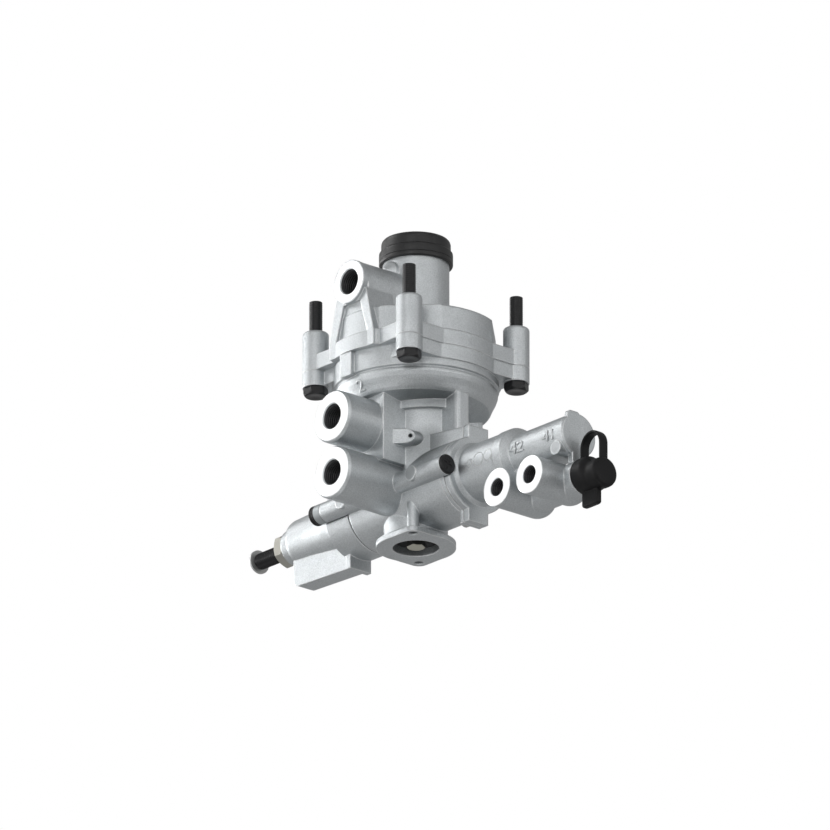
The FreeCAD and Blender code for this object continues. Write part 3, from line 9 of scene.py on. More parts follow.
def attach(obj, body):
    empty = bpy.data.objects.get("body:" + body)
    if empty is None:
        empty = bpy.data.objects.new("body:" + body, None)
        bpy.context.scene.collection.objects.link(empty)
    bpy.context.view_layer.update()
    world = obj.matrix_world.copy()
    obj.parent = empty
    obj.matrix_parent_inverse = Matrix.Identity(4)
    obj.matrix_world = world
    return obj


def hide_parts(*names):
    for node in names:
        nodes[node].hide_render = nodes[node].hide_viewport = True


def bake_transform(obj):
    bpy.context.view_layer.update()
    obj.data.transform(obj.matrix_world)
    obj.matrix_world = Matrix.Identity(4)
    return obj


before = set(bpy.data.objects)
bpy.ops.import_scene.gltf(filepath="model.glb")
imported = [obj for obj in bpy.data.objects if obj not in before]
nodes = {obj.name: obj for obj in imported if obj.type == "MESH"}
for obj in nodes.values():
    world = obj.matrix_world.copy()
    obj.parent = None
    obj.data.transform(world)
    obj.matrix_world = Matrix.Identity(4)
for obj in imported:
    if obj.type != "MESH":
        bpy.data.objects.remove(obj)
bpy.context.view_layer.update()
mm = 0.001  # shapes are worked out in millimetres, node sockets take metres
print("frame loaded:", len(nodes), "nodes")

meshSettings = {"crease": 32, "merge": 2e-6}  # degrees of a sharp edge, metres between doubles


def fullTurn(count):
    # Even angles round a circle, without the last one that would repeat the first.
    return np.linspace(0, 2 * np.pi, count, endpoint=False)


def spun(radius, station, angle):
    # Local points: the radius times cosine and sine of the angle across, the station along.
    return np.stack([radius * np.cos(angle), radius * np.sin(angle), station + 0 * angle],
                    axis=-1)


def placed(local, axis, origin):
    # Turns local coordinates (across, across, along) so that "along" points down the axis.
    x, y, z = local[..., 0], local[..., 1], local[..., 2]
    turned = {"x": (z, x, y), "y": (x, z, -y), "z": (x, y, z)}[axis]
    return np.stack(turned, axis=-1) + np.asarray(origin, float)


def ringRows(pairs, count):
    # Round rows from (radius, station) pairs.
    pairs = np.asarray(pairs, float)
    return spun(pairs[:, :1], pairs[:, 1:], fullTurn(count))


def hexRows(flats, stations, limits, count):
    # Rows of a hexagon whose corners are cut back to a limit radius at each station: half the
    # width across flats over the cosine of the angle from the nearest flat's middle.
    angle = fullTurn(count)
    side = flats / 2 / np.cos((angle % (np.pi / 3)) - np.pi / 6)
    radius = np.minimum(side[None, :], np.asarray(limits, float)[:, None])
    return spun(radius, np.asarray(stations, float)[:, None], angle[None, :])


def threadRows(start, end, outer, depth, pitch, count, fadeLength=0.8, inner=False):
    # A screw thread: the radius falls from the crest as a triangle wave of station / pitch
    # less angle / turn, with flat crests, and fades out over a short length at both ends.
    rowsPerTurn, flank, crest, endDepth = 8, 1.25, 0.1, 0.7
    rows = int((end - start) / pitch * rowsPerTurn) + 1
    stations, angle = np.linspace(start, end, rows)[:, None], fullTurn(count)[None, :]
    phase = (stations / pitch - angle / (2 * np.pi)) % 1.0
    wave = np.clip(flank * np.abs(2 * phase - 1) - crest, 0, 1)
    fade = np.clip(np.minimum(stations - start, end - stations) / fadeLength, 0, 1)
    if inner:
        radius = outer - depth * wave * fade
    else:
        radius = outer - depth * (1 - wave) * fade - (1 - fade) * endDepth * depth
    return spun(radius, stations, angle)


def cappedRows(rows):
    # Closes both ends of a tube with a row that lies wholly at the end section's middle.
    ends = [part.mean(axis=1, keepdims=True) + 0 * part for part in (rows[:1], rows[-1:])]
    return np.concatenate([ends[0], rows, ends[1]])


def squaredCircle(count, power):
    # Cosine and sine raised to a power with their signs kept: a circle squared off.
    c, s = np.cos(fullTurn(count)), np.sin(fullTurn(count))
    return np.sign(c) * np.abs(c) ** power, np.sign(s) * np.abs(s) ** power


def gridQuads(rows, columns, wrapRows, wrapColumns):
    # Joins each point to the next one in its row and the two beside them in the next row.
    i = np.arange(rows if wrapRows else rows - 1)
    j = np.arange(columns if wrapColumns else columns - 1)
    a, b = np.meshgrid(i, j, indexing="ij")
    a2, b2 = (a + 1) % rows, (b + 1) % columns
    return np.stack([a * columns + b, a * columns + b2, a2 * columns + b2,
                     a2 * columns + b], axis=-1).reshape(-1, 4)


def tidyMesh(mesh):
    # Merges the points that fall together at poles and seams and turns the faces outwards.
    work = bmesh.new()
    work.from_mesh(mesh)
    bmesh.ops.remove_doubles(work, verts=work.verts, dist=meshSettings["merge"])
    bmesh.ops.recalc_face_normals(work, faces=work.faces)
    work.to_mesh(mesh)
    work.free()


def addObject(name, data):
    # A new object in the scene, at the origin.
    thing = bpy.data.objects.new(name, data)
    bpy.context.scene.collection.objects.link(thing)
    return thing


def gridPiece(name, sheets, body, material, replaced=()):
    # One object from several sheets (points, wrapRows, wrapColumns): rows of points run one
    # way over the surface and columns the other, and either may close on itself.
    coords, faces, start = [], [], 0
    for points, wrapRows, wrapColumns in sheets:
        rows, columns = points.shape[:2]
        coords.append(points.reshape(-1, 3))
        faces.append(gridQuads(rows, columns, wrapRows, wrapColumns) + start)
        start += rows * columns
    mesh = bpy.data.meshes.new(name)
    mesh.from_pydata((np.concatenate(coords) * mm).tolist(), [],
                     np.concatenate(faces).tolist())
    mesh.update()
    tidyMesh(mesh)
    mesh.polygons.foreach_set("use_smooth", np.full(len(mesh.polygons), True))
    mesh.set_sharp_from_angle(angle=math.radians(meshSettings["crease"]))
    piece = addObject(name, mesh)
    piece.data.materials.append(material)
    if body:
        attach(piece, body)
    if replaced:
        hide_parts(*replaced)
    return piece


def feed(tree, socket, value):
    # Links a socket to another one, or sets its plain value.
    if isinstance(value, bpy.types.NodeSocket):
        tree.links.new(value, socket)
    else:
        socket.default_value = value


def addNode(tree, kind, settings=None, **links):
    # Adds a node, sets its properties, and feeds its inputs by name, or by number as i0, i1.
    node = tree.nodes.new(kind)
    for key, value in (settings or {}).items():
        setattr(node, key, value)
    for key, value in links.items():
        numbered = key[0] == "i" and key[1:].isdigit()
        feed(tree, node.inputs[int(key[1:]) if numbered else key.replace("_", " ")], value)
    return node


def useGroup(tree, group, **values):
    return addNode(tree, "ShaderNodeGroup", {"node_tree": group}, **values)


def calc(tree, operation, a, b=0.0, clamp=False):
    return addNode(tree, "ShaderNodeMath", {"operation": operation, "use_clamp": clamp},
                   i0=a, i1=b).outputs[0]


def vectorCalc(tree, operation, a, b=(0, 0, 0)):
    # One vector step. A length or a dot product comes out as a number.
    node = addNode(tree, "ShaderNodeVectorMath", {"operation": operation}, i0=a, i1=b)
    return node.outputs["Value" if operation in ("LENGTH", "DOT_PRODUCT") else "Vector"]


def highest(tree, masks):
    # The highest of several masks, or none where there are no masks.
    top = 0.0
    for mask in masks:
        top = calc(tree, "MAXIMUM", top, mask)
    return top


def blendColor(tree, factor, first, second):
    node = addNode(tree, "ShaderNodeMix", {"data_type": "RGBA"}, i0=factor, i6=first, i7=second)
    return node.outputs[2]


def newGroup(name, inputs, outputs):
    group = bpy.data.node_groups.new(name, "ShaderNodeTree")
    kinds = {"f": "NodeSocketFloat", "v": "NodeSocketVector"}
    for label, kind, value in inputs:
        socket = group.interface.new_socket(label, in_out="INPUT", socket_type=kinds[kind])
        socket.default_value = value
    for label, kind in outputs:
        group.interface.new_socket(label, in_out="OUTPUT", socket_type=kinds[kind])
    given, result = group.nodes.new("NodeGroupInput"), group.nodes.new("NodeGroupOutput")
    return group, given.outputs, result.inputs


def makeZoneGroup():
    # Full where a point is nearer than Radius to the axis and than Depth to Centre along it.
    group, given, result = newGroup("roundZone", [
        ("Point", "v", (0, 0, 0)), ("Centre", "v", (0, 0, 0)), ("Across", "v", (1, 0, 1)),
        ("Radius", "f", 0.01), ("Depth", "f", 0.001)], [("Mask", "f")])
    away = vectorCalc(group, "SUBTRACT", given["Point"], given["Centre"])
    across = vectorCalc(group, "MULTIPLY", away, given["Across"])
    along = vectorCalc(group, "SUBTRACT", away, across)
    inRadius = calc(group, "LESS_THAN", vectorCalc(group, "LENGTH", across), given["Radius"])
    inDepth = calc(group, "LESS_THAN", vectorCalc(group, "LENGTH", along), given["Depth"])
    group.links.new(calc(group, "MULTIPLY", inRadius, inDepth), result["Mask"])
    return group


def makeCavityGroup():
    # A soft mask for painted shade in hollows: full up to half of Reach from Centre, then
    # falling to none at Reach.
    group, given, result = newGroup("cavityShade", [
        ("Point", "v", (0, 0, 0)), ("Centre", "v", (0, 0, 0)),
        ("Reach", "v", (0.01, 0.01, 0.01))], [("Mask", "f")])
    away = vectorCalc(group, "SUBTRACT", given["Point"], given["Centre"])
    share = vectorCalc(group, "LENGTH", vectorCalc(group, "DIVIDE", away, given["Reach"]))
    near = calc(group, "SUBTRACT", 1.0, share)
    group.links.new(calc(group, "MULTIPLY", near, 2.0, clamp=True), result["Mask"])
    return group


def makeGrainGroup():
    # Blasted casting skin: a fine grain over a broader unevenness, and a tone from both.
    group, given, result = newGroup("blastedSkin", [
        ("Point", "v", (0, 0, 0)), ("Grain Size", "f", 0.0004), ("Wave Size", "f", 0.006)],
        [("Height", "f"), ("Tone", "f")])
    fine = vectorCalc(group, "DIVIDE", given["Point"], given["Grain Size"])
    broad = vectorCalc(group, "DIVIDE", given["Point"], given["Wave Size"])
    grain = addNode(group, "ShaderNodeTexNoise", Vector=fine, Scale=1.0, Detail=3.0,
                    Roughness=0.6).outputs[0]
    wave = addNode(group, "ShaderNodeTexNoise", Vector=broad, Scale=1.0, Detail=2.0,
                   Roughness=0.5).outputs[0]
    for label, grainShare, waveShare in (("Height", 0.6, 0.8), ("Tone", 0.85, 0.15)):
        mixed = calc(group, "ADD", calc(group, "MULTIPLY", grain, grainShare),
                     calc(group, "MULTIPLY", wave, waveShare))
        group.links.new(mixed, result[label])
    return group


def makeTurnGroup():
    # Turning marks: the sine of the distance to an axis over Spacing.
    group, given, result = newGroup("turningMarks", [
        ("Point", "v", (0, 0, 0)), ("Centre", "v", (0, 0, 0)), ("Across", "v", (1, 0, 1)),
        ("Spacing", "f", 0.0003)], [("Height", "f")])
    away = vectorCalc(group, "SUBTRACT", given["Point"], given["Centre"])
    across = vectorCalc(group, "MULTIPLY", away, given["Across"])
    rings = calc(group, "DIVIDE", vectorCalc(group, "LENGTH", across), given["Spacing"])
    group.links.new(calc(group, "SINE", rings), result["Height"])
    return group


def makeEdgeGroup():
    # A rounded normal, and a mask from how far it leans from the true one, times Gain.
    group, given, result = newGroup("roundedEdge", [("Radius", "f", 0.001), ("Gain", "f", 3.0)],
                                    [("Normal", "v"), ("Mask", "f")])
    soft = addNode(group, "ShaderNodeBevel", {"samples": 6}, Radius=given["Radius"]).outputs[0]
    sharp = group.nodes.new("ShaderNodeNewGeometry").outputs["Normal"]
    lean = calc(group, "SUBTRACT", 1.0, vectorCalc(group, "DOT_PRODUCT", soft, sharp))
    group.links.new(soft, result["Normal"])
    group.links.new(calc(group, "MULTIPLY", lean, given["Gain"], clamp=True), result["Mask"])
    return group


zoneGroup = makeZoneGroup()
cavityGroup = makeCavityGroup()
grainGroup = makeGrainGroup()
turnGroup = makeTurnGroup()
edgeGroup = makeEdgeGroup()


def startMaterial(name):
    material = bpy.data.materials.new(name)
    material.use_nodes = True
    tree = material.node_tree
    point = tree.nodes.new("ShaderNodeTexCoord").outputs["Object"]
    return material, tree, tree.nodes["Principled BSDF"], point


def zoneMask(tree, point, centre, across, radius, depth):
    return useGroup(tree, zoneGroup, Point=point, Centre=[c * mm for c in centre],
                    Across=across, Radius=radius * mm, Depth=depth * mm).outputs["Mask"]


alongX, alongY, alongZ = (0, 1, 1), (1, 0, 1), (1, 1, 0)  # what counts as across each axis

# Ports run along Y. Each has its casting, its mouth's centre, the way in (1 or -1), the radius
# of its turned face, the bore's radius, start and end, and the thread's radius, start, length.
ports = {
    "signal": {"casting": "castCover", "mouth": (0, -52.7, 18.4), "inwards": 1, "face": 12.4,
               "bore": (7.6, 0.5, 40.9), "thread": (7.3, 1.1, 17.0)},
    "deliveryUpper": {"casting": "castHousing", "mouth": (0, -66.0, -69.8), "inwards": 1,
                      "face": 14.9, "bore": (7.6, 0.6, 39.4), "thread": (7.3, 1.1, 17.0)},
    "deliveryLower": {"casting": "castHousing", "mouth": (0, -66.0, -104.9), "inwards": 1,
                      "face": 14.9, "bore": (7.6, 0.6, 39.4), "thread": (7.3, 1.1, 17.0)},
    "supply": {"casting": "castHousing", "mouth": (0, 58.0, -74.0), "inwards": -1,
               "face": 17.5, "bore": (10.7, 0.6, 39.4), "thread": (10.4, 1.1, 16.0)},
    "bellowsFirst": {"casting": "castControl", "mouth": (103.7, -27.6, -134.1), "inwards": 1,
                     "face": 12.0, "bore": (5.4, 0.4, 28.8), "thread": (5.2, 0.7, 13.0)},
    "bellowsSecond": {"casting": "castControl", "mouth": (132.5, -27.6, -134.1), "inwards": 1,
                      "face": 12.0, "bore": (5.4, 0.4, 28.8), "thread": (5.2, 0.7, 13.0)},
}

castLook = {
    "skin": (0.47, 0.495, 0.505, 1), "skinLight": (0.68, 0.705, 0.72, 1),
    # The edge colour is a painted highlight, blended in along the edges.
    "edge": (1.0, 1.0, 1.0, 1), "machined": (0.90, 0.905, 0.91, 1),
    # The bore colour is painted shade: near-black inside the port holes.
    "bore": (0.012, 0.0125, 0.013, 1), "pad": (0.45, 0.47, 0.48, 1),
    # The hollows' colour is painted shade.
    "paintedShade": (0.05, 0.06, 0.062, 1), "paintedShadeShare": 0.45,
    "toneStart": 0.32, "toneGain": 2.6, "edgeRadius": 0.0012, "edgeGain": 3.2,
    "paintedHighlightShare": 0.85, "faceDepth": 0.12, "padDepth": 0.6, "metallic": 0.88,
    "roughness": 0.36, "toneRoughness": 0.16, "faceRoughness": 0.1,
    "grainSize": 0.0007, "waveSize": 0.009, "bumpDepth": 0.0003,
}


def castMaterial(name, pads=(), paintedShadeHollows=()):
    # Die-cast aluminium: blasted skin, a painted highlight on the edges, turned port faces and
    # bores darkened with painted shade. Pads are (centre, radius) of ejector marks whose faces
    # get painted shade; the hollows are (centre, reach) of recesses darkened with painted shade.
    look = castLook
    material, tree, shader, point = startMaterial(name)
    skin = useGroup(tree, grainGroup, Point=point, Grain_Size=look["grainSize"],
                    Wave_Size=look["waveSize"]).outputs
    edge = useGroup(tree, edgeGroup, Radius=look["edgeRadius"], Gain=look["edgeGain"]).outputs
    tone = calc(tree, "MULTIPLY", calc(tree, "SUBTRACT", skin["Tone"], look["toneStart"]),
                look["toneGain"], clamp=True)
    color = blendColor(tree, tone, look["skin"], look["skinLight"])
    # Painted shade: the pads' faces get a darker flat colour.
    for centre, radius in pads:
        mask = zoneMask(tree, point, centre, alongY, radius, look["padDepth"])
        color = blendColor(tree, mask, color, look["pad"])
    # Painted shade: the hollows are darkened towards their centres.
    for centre, reach in paintedShadeHollows:
        shadeMask = useGroup(tree, cavityGroup, Point=point, Centre=[c * mm for c in centre],
                        Reach=[r * mm for r in reach]).outputs["Mask"]
        color = blendColor(tree, calc(tree, "MULTIPLY", shadeMask, look["paintedShadeShare"]), color,
                           look["paintedShade"])
    # Painted highlight: white blended in along convex and concave edges by the rounded-edge
    # mask.
    color = blendColor(tree, calc(tree, "MULTIPLY", edge["Mask"], look["paintedHighlightShare"]), color,
                       look["edge"])
    faces, boreShadeMasks = [], []
    for port in ports.values():
        if port["casting"] == name:
            (x, y, z), (radius, start, end) = port["mouth"], port["bore"]
            faces.append(zoneMask(tree, point, (x, y, z), alongY, port["face"],
                                  look["faceDepth"]))
            boreShadeMasks.append(zoneMask(tree, point, (x, y + port["inwards"] * (start + end) / 2, z),
                                  alongY, radius, (end - start) / 2))
    face, boreShadeMask = highest(tree, faces), highest(tree, boreShadeMasks)
    # Painted shade: the bores are painted near-black inside, over the turned faces' colour.
    color = blendColor(tree, boreShadeMask, blendColor(tree, face, color, look["machined"]),
                       look["bore"])
    tree.links.new(color, shader.inputs["Base Color"])
    shader.inputs["Metallic"].default_value = look["metallic"]
    rough = calc(tree, "ADD", look["roughness"],
                 calc(tree, "MULTIPLY", skin["Tone"], look["toneRoughness"]))
    rough = calc(tree, "SUBTRACT", rough, calc(tree, "MULTIPLY", face, look["faceRoughness"]))
    tree.links.new(rough, shader.inputs["Roughness"])
    height = calc(tree, "MULTIPLY", skin["Height"], calc(tree, "SUBTRACT", 1.0, face))
    bump = addNode(tree, "ShaderNodeBump", Strength=1.0, Distance=look["bumpDepth"],
                   Height=height, Normal=edge["Normal"])
    tree.links.new(bump.outputs[0], shader.inputs["Normal"])
    return material


metalLook = {"grainSize": 0.0006, "waveSize": 0.004, "edgeRadius": 0.0004, "edgeGain": 2.5,
             "toneMiddle": 0.5, "toneRoughness": 0.2, "markHeight": 0.5,
             "markSpacing": 0.00025, "bumpDepth": 0.00002}


def metalMaterial(name, color, worn, metallic, roughness, across=alongZ, centre=(0, 0, 0),
                  bumpDepth=metalLook["bumpDepth"], patch=None):
    # Turned or plated metal: a coat that thins at the edges, with fine turning rings. A patch
    # is a round zone with another colour.
    look = metalLook
    material, tree, shader, point = startMaterial(name)
    marks = useGroup(tree, turnGroup, Point=point, Centre=[c * mm for c in centre],
                     Across=across, Spacing=look["markSpacing"]).outputs["Height"]
    skin = useGroup(tree, grainGroup, Point=point, Grain_Size=look["grainSize"],
                    Wave_Size=look["waveSize"]).outputs
    edge = useGroup(tree, edgeGroup, Radius=look["edgeRadius"], Gain=look["edgeGain"]).outputs
    shade = blendColor(tree, calc(tree, "MULTIPLY", edge["Mask"], skin["Tone"]), color, worn)
    if patch:
        mask = zoneMask(tree, point, patch["centre"], patch["across"], patch["radius"],
                        patch["depth"])
        shade = blendColor(tree, mask, shade, patch["color"])
    tree.links.new(shade, shader.inputs["Base Color"])
    shader.inputs["Metallic"].default_value = metallic
    uneven = calc(tree, "MULTIPLY", calc(tree, "SUBTRACT", skin["Tone"], look["toneMiddle"]),
                  look["toneRoughness"])
    tree.links.new(calc(tree, "ADD", roughness, uneven), shader.inputs["Roughness"])
    height = calc(tree, "ADD", calc(tree, "MULTIPLY", marks, look["markHeight"]),
                  skin["Height"])
    bump = addNode(tree, "ShaderNodeBump", Strength=1.0, Distance=bumpDepth, Height=height,
                   Normal=edge["Normal"])
    tree.links.new(bump.outputs[0], shader.inputs["Normal"])
    return material


rubberLook = {"grainSize": 0.0005, "waveSize": 0.009, "bloomStart": 0.35, "bloomGain": 1.4,
              "toneRoughness": 0.16, "edgeRadius": 0.0006, "bumpDepth": 0.00005,
              "color": (0.009, 0.009, 0.0095, 1), "light": (0.02, 0.02, 0.021, 1)}


def rubberMaterial(name, color=rubberLook["color"], light=rubberLook["light"], roughness=0.55,
                   gloss=0.22):
    # Moulded rubber: a dull black with a faint bloom and a soft skin.
    look = rubberLook
    material, tree, shader, point = startMaterial(name)
    skin = useGroup(tree, grainGroup, Point=point, Grain_Size=look["grainSize"],
                    Wave_Size=look["waveSize"]).outputs
    edge = useGroup(tree, edgeGroup, Radius=look["edgeRadius"]).outputs
    bloom = calc(tree, "MULTIPLY", calc(tree, "SUBTRACT", skin["Tone"], look["bloomStart"]),
                 look["bloomGain"], clamp=True)
    tree.links.new(blendColor(tree, bloom, color, light), shader.inputs["Base Color"])
    shader.inputs["Specular IOR Level"].default_value = gloss
    rough = calc(tree, "ADD", roughness - look["toneRoughness"] / 2,
                 calc(tree, "MULTIPLY", skin["Tone"], look["toneRoughness"]))
    tree.links.new(rough, shader.inputs["Roughness"])
    bump = addNode(tree, "ShaderNodeBump", Strength=1.0, Distance=look["bumpDepth"],
                   Height=skin["Height"], Normal=edge["Normal"])
    tree.links.new(bump.outputs[0], shader.inputs["Normal"])
    return material


castMaterial("castCover")
castMaterial("castHousing",
             pads=[((32.2, -32.7, -106.4), 3.9), ((-32.2, -32.7, -106.4), 3.9)],
             paintedShadeHollows=[((31.0, -18.0, -53.0), (21.0, 24.0, 9.0)),
                       ((-31.0, -18.0, -53.0), (21.0, 24.0, 9.0)),
                       ((24.0, -12.0, -84.0), (18.0, 14.0, 16.0))])
controlCast = castMaterial("castControl", pads=[((139.1, -12.9, -115.6), 3.5)])
barrelCast = castMaterial("castBarrel")

# Metals as (colour, worn colour, metallic, roughness, other settings).
metals = {
    "turnedAluminium": ((0.62, 0.63, 0.64, 1), (0.8, 0.8, 0.8, 1), 0.8, 0.34, {}),
    "zincPlate": ((0.66, 0.665, 0.66, 1), (0.8, 0.8, 0.79, 1), 0.5, 0.42, {}),
    "nutPlate": ((0.50, 0.49, 0.44, 1), (0.85, 0.85, 0.82, 1), 0.5, 0.38,
                 {"across": alongX, "centre": (0, 0, -106.4)}),
    # The stub's sides are painted dark as shade; the cream patch on its end is its own colour.
    "stubSideShade": ((0.10, 0.10, 0.095, 1), (0.3, 0.3, 0.28, 1), 0.45, 0.45,
                  {"patch": {"centre": (0, 0, -136.6), "across": alongZ, "radius": 8.0,
                             "depth": 0.35, "color": (0.72, 0.70, 0.60, 1)}}),
    "plugMetal": ((0.46, 0.49, 0.5, 1), (0.8, 0.82, 0.82, 1), 0.5, 0.45,
                  {"across": alongX, "centre": (0, -26.0, -106.4),
                   "patch": {"centre": (-57.8, -26.0, -106.4), "across": alongX,
                             "radius": 9.0, "depth": 1.6, "color": (0.015, 0.015, 0.016, 1)}}),
    "springWire": ((0.3, 0.3, 0.31, 1), (0.5, 0.5, 0.5, 1), 0.9, 0.35, {}),
    "blackFinish": ((0.02, 0.02, 0.021, 1), (0.10, 0.10, 0.105, 1), 0.35, 0.3,
                    {"bumpDepth": 0.000005}),
    # Threads inside the port bores are painted near-black: painted shade, like the bores.
    "boreThreadShade": ((0.05, 0.051, 0.053, 1), (0.2, 0.2, 0.2, 1), 0.5, 0.45, {}),
}
for finish, (*values, settings) in metals.items():
    metalMaterial(finish, *values, **settings)

rubbers = {
    "mouldedRubber": {},
    "capRubber": {"roughness": 0.5},
    "towerRubber": {"color": (0.016, 0.016, 0.0165, 1), "light": (0.034, 0.034, 0.035, 1),
                    "roughness": 0.42, "gloss": 0.5},
    "darkPlastic": {"color": (0.03, 0.03, 0.032, 1), "light": (0.05, 0.05, 0.052, 1),
                    "roughness": 0.4},
    "gasketSheet": {"color": (0.08, 0.08, 0.082, 1), "light": (0.12, 0.12, 0.12, 1),
                    "roughness": 0.7},
}
for finish, settings in rubbers.items():
    rubberMaterial(finish, **settings)

finishes = bpy.data.materials
blackMetal, springMetal = finishes["blackFinish"], finishes["springWire"]
capRubber, towerRubber = finishes["capRubber"], finishes["towerRubber"]

nodeFinishes = {
    "castCover": ["upper_cover"], "castHousing": ["lower_housing"],
    "castControl": ["control_housing"], "castBarrel": ["spring_housing"],
    "gasketSheet": ["barrel_seal", "control_gasket"],
    "zincPlate": ["screw_disc", "spring_plate", "bar_screws", "tappet", "flap_sleeve",
                  "test_connection"],
    "turnedAluminium": ["large_piston", "small_piston", "cam_slide", "control_piston",
                        "relay_piston", "clamp_ring", "tower_screw"],
    "springWire": ["load_spring", "control_spring", "valve_spring"],
    "mouldedRubber": ["large_seal", "small_seal", "relay_seal", "diaphragm", "inlet_valve",
                      "exhaust_flap", "side_ring_left"],
    "darkPlastic": ["fan_ring", "valve_guide"],
    "capRubber": ["side_plug_right", "test_cap"], "towerRubber": ["tower_cap"],
    "nutPlate": ["lock_nut"], "stubSideShade": ["flap_screw"], "plugMetal": ["side_plug_left"],
    "blackFinish": ["adjusting_screw", "through_bolts"],
}
for finish, nodeNames in nodeFinishes.items():
    for nodeName in nodeNames:
        cadObject = nodes[nodeName]
        if not cadObject.material_slots:
            cadObject.data.materials.append(None)
        for materialSlot in cadObject.material_slots:
            materialSlot.material = finishes[finish]
print("materials made:", len(finishes))


# The foot is (radius, rise) from the head's lowest point, the crown is (rise, cut) back from
# the hexagon's corners, and the neck is (cut, station) back from the shank.
studSizes = {
    "spread": 42.04, "radius": 4.0, "pitch": 1.25, "depth": 0.2, "top": 19.4, "count": 60,
    "headTop": -35.0, "headHeight": 5.2, "flats": 13.0, "shoulder": 0.4, "uncut": -1.0,
    "crown": [(0.0, 1.6), (0.5, 0.85), (1.0, 0.35), (1.5, -1.0)],
    "foot": [(0, 0.25), (2.2, 0.25), (3.4, 0.0), (5.2, 0.0)],
    "neck": [(0.0, -35.0), (0.0, -1.0), (0.45, -0.3)], "tipCut": 0.8, "tipGap": 0.05,
}


def studSheets():
    # Each stud is one profile turned about Z, from the middle of its hexagonal head's foot to
    # the middle of its threaded end; the four stand at the corners of a square.
    s, count = studSizes, studSizes["count"]
    low = s["headTop"] - s["headHeight"]
    corner = s["flats"] / math.sqrt(3)
    head = hexRows(s["flats"], [low + rise for rise, _ in s["crown"]]
                   + [s["headTop"] - s["shoulder"], s["headTop"]],
                   [corner - cut for _, cut in s["crown"]]
                   + [corner - s["uncut"], corner - s["shoulder"]], count)
    local = np.concatenate([
        ringRows([(radius, low + rise) for radius, rise in s["foot"]], count), head,
        ringRows([(s["radius"] - cut, station) for cut, station in s["neck"]], count),
        threadRows(0.0, s["top"] - s["tipGap"], s["radius"], s["depth"], s["pitch"], count),
        ringRows([(s["radius"] - s["tipCut"], s["top"]), (0, s["top"])], count)])
    return [(placed(local, "z", (x * s["spread"], y * s["spread"], 0)), False, True)
            for x in (-1, 1) for y in (-1, 1)]


gridPiece("threadedStuds", studSheets(), "housing", blackMetal,
          replaced=["through_bolts"])
print("studs made")


screwSizes = {"start": -141.0, "threadEnd": -101.0, "end": -96.06, "radius": 5.0, "pitch": 1.5,
              "depth": 0.75, "level": -106.4, "tipCut": 0.9, "tipGap": 0.1, "rootCut": 1.0,
              "rootGap": 0.4, "neckRadius": 3.5, "neckEdge": 0.24, "count": 56}


def screwSheets():
    # One profile turned about the barrel's axis: the free tip, the thread, then a plain neck.
    s, count = screwSizes, screwSizes["count"]
    local = np.concatenate([
        ringRows([(0, s["start"]), (s["radius"] - s["tipCut"], s["start"])], count),
        threadRows(s["start"] + s["tipGap"], s["threadEnd"], s["radius"], s["depth"],
                   s["pitch"], count),
        ringRows([(s["radius"] - s["rootCut"], s["threadEnd"] + s["rootGap"]),
                  (s["neckRadius"], s["end"] - s["neckEdge"]), (s["neckRadius"], s["end"]),
                  (0, s["end"])], count)])
    return [(placed(local, "x", (0, 0, s["level"])), False, True)]


gridPiece("threadedAdjuster", screwSheets(), "adjusting_screw", blackMetal,
          replaced=["adjusting_screw"])
print("adjusting screw made")


# The outline is (radius, level), from the roof down over two grooves and up inside.
towerCapSizes = {
    "steps": 3, "count": 96,
    "outline": [
        (0, 56.3), (12.0, 56.3), (18.0, 56.2), (19.6, 55.8), (20.3, 55.0), (20.62, 53.9),
        (20.65, 52.0), (20.65, 49.0), (20.3, 48.95), (20.3, 48.75), (20.8, 48.7),
        (21.5, 48.5), (21.9, 48.0), (21.97, 47.2), (21.97, 43.6), (21.65, 43.5),
        (21.65, 43.3), (21.97, 43.2), (21.97, 41.4), (21.8, 40.85), (21.4, 40.62),
        (19.95, 40.62), (19.85, 41.0), (19.85, 52.8), (0, 52.95)],
}


def towerCapSheet():
    # The outline, cut into short straight steps and turned about the tower's axis.
    outline = np.array(towerCapSizes["outline"], float)
    last = len(outline) - 1
    parts = np.linspace(0, last, towerCapSizes["steps"] * last + 1)
    columns = [np.interp(parts, np.arange(last + 1), column) for column in outline.T]
    local = ringRows(np.stack(columns, axis=-1), towerCapSizes["count"])
    return placed(local, "z", (0, 0, 0)), False, True


gridPiece("rubberTowerCap", [towerCapSheet()], "tower_cap", towerRubber,
          replaced=["tower_cap"])
print("tower cap made")


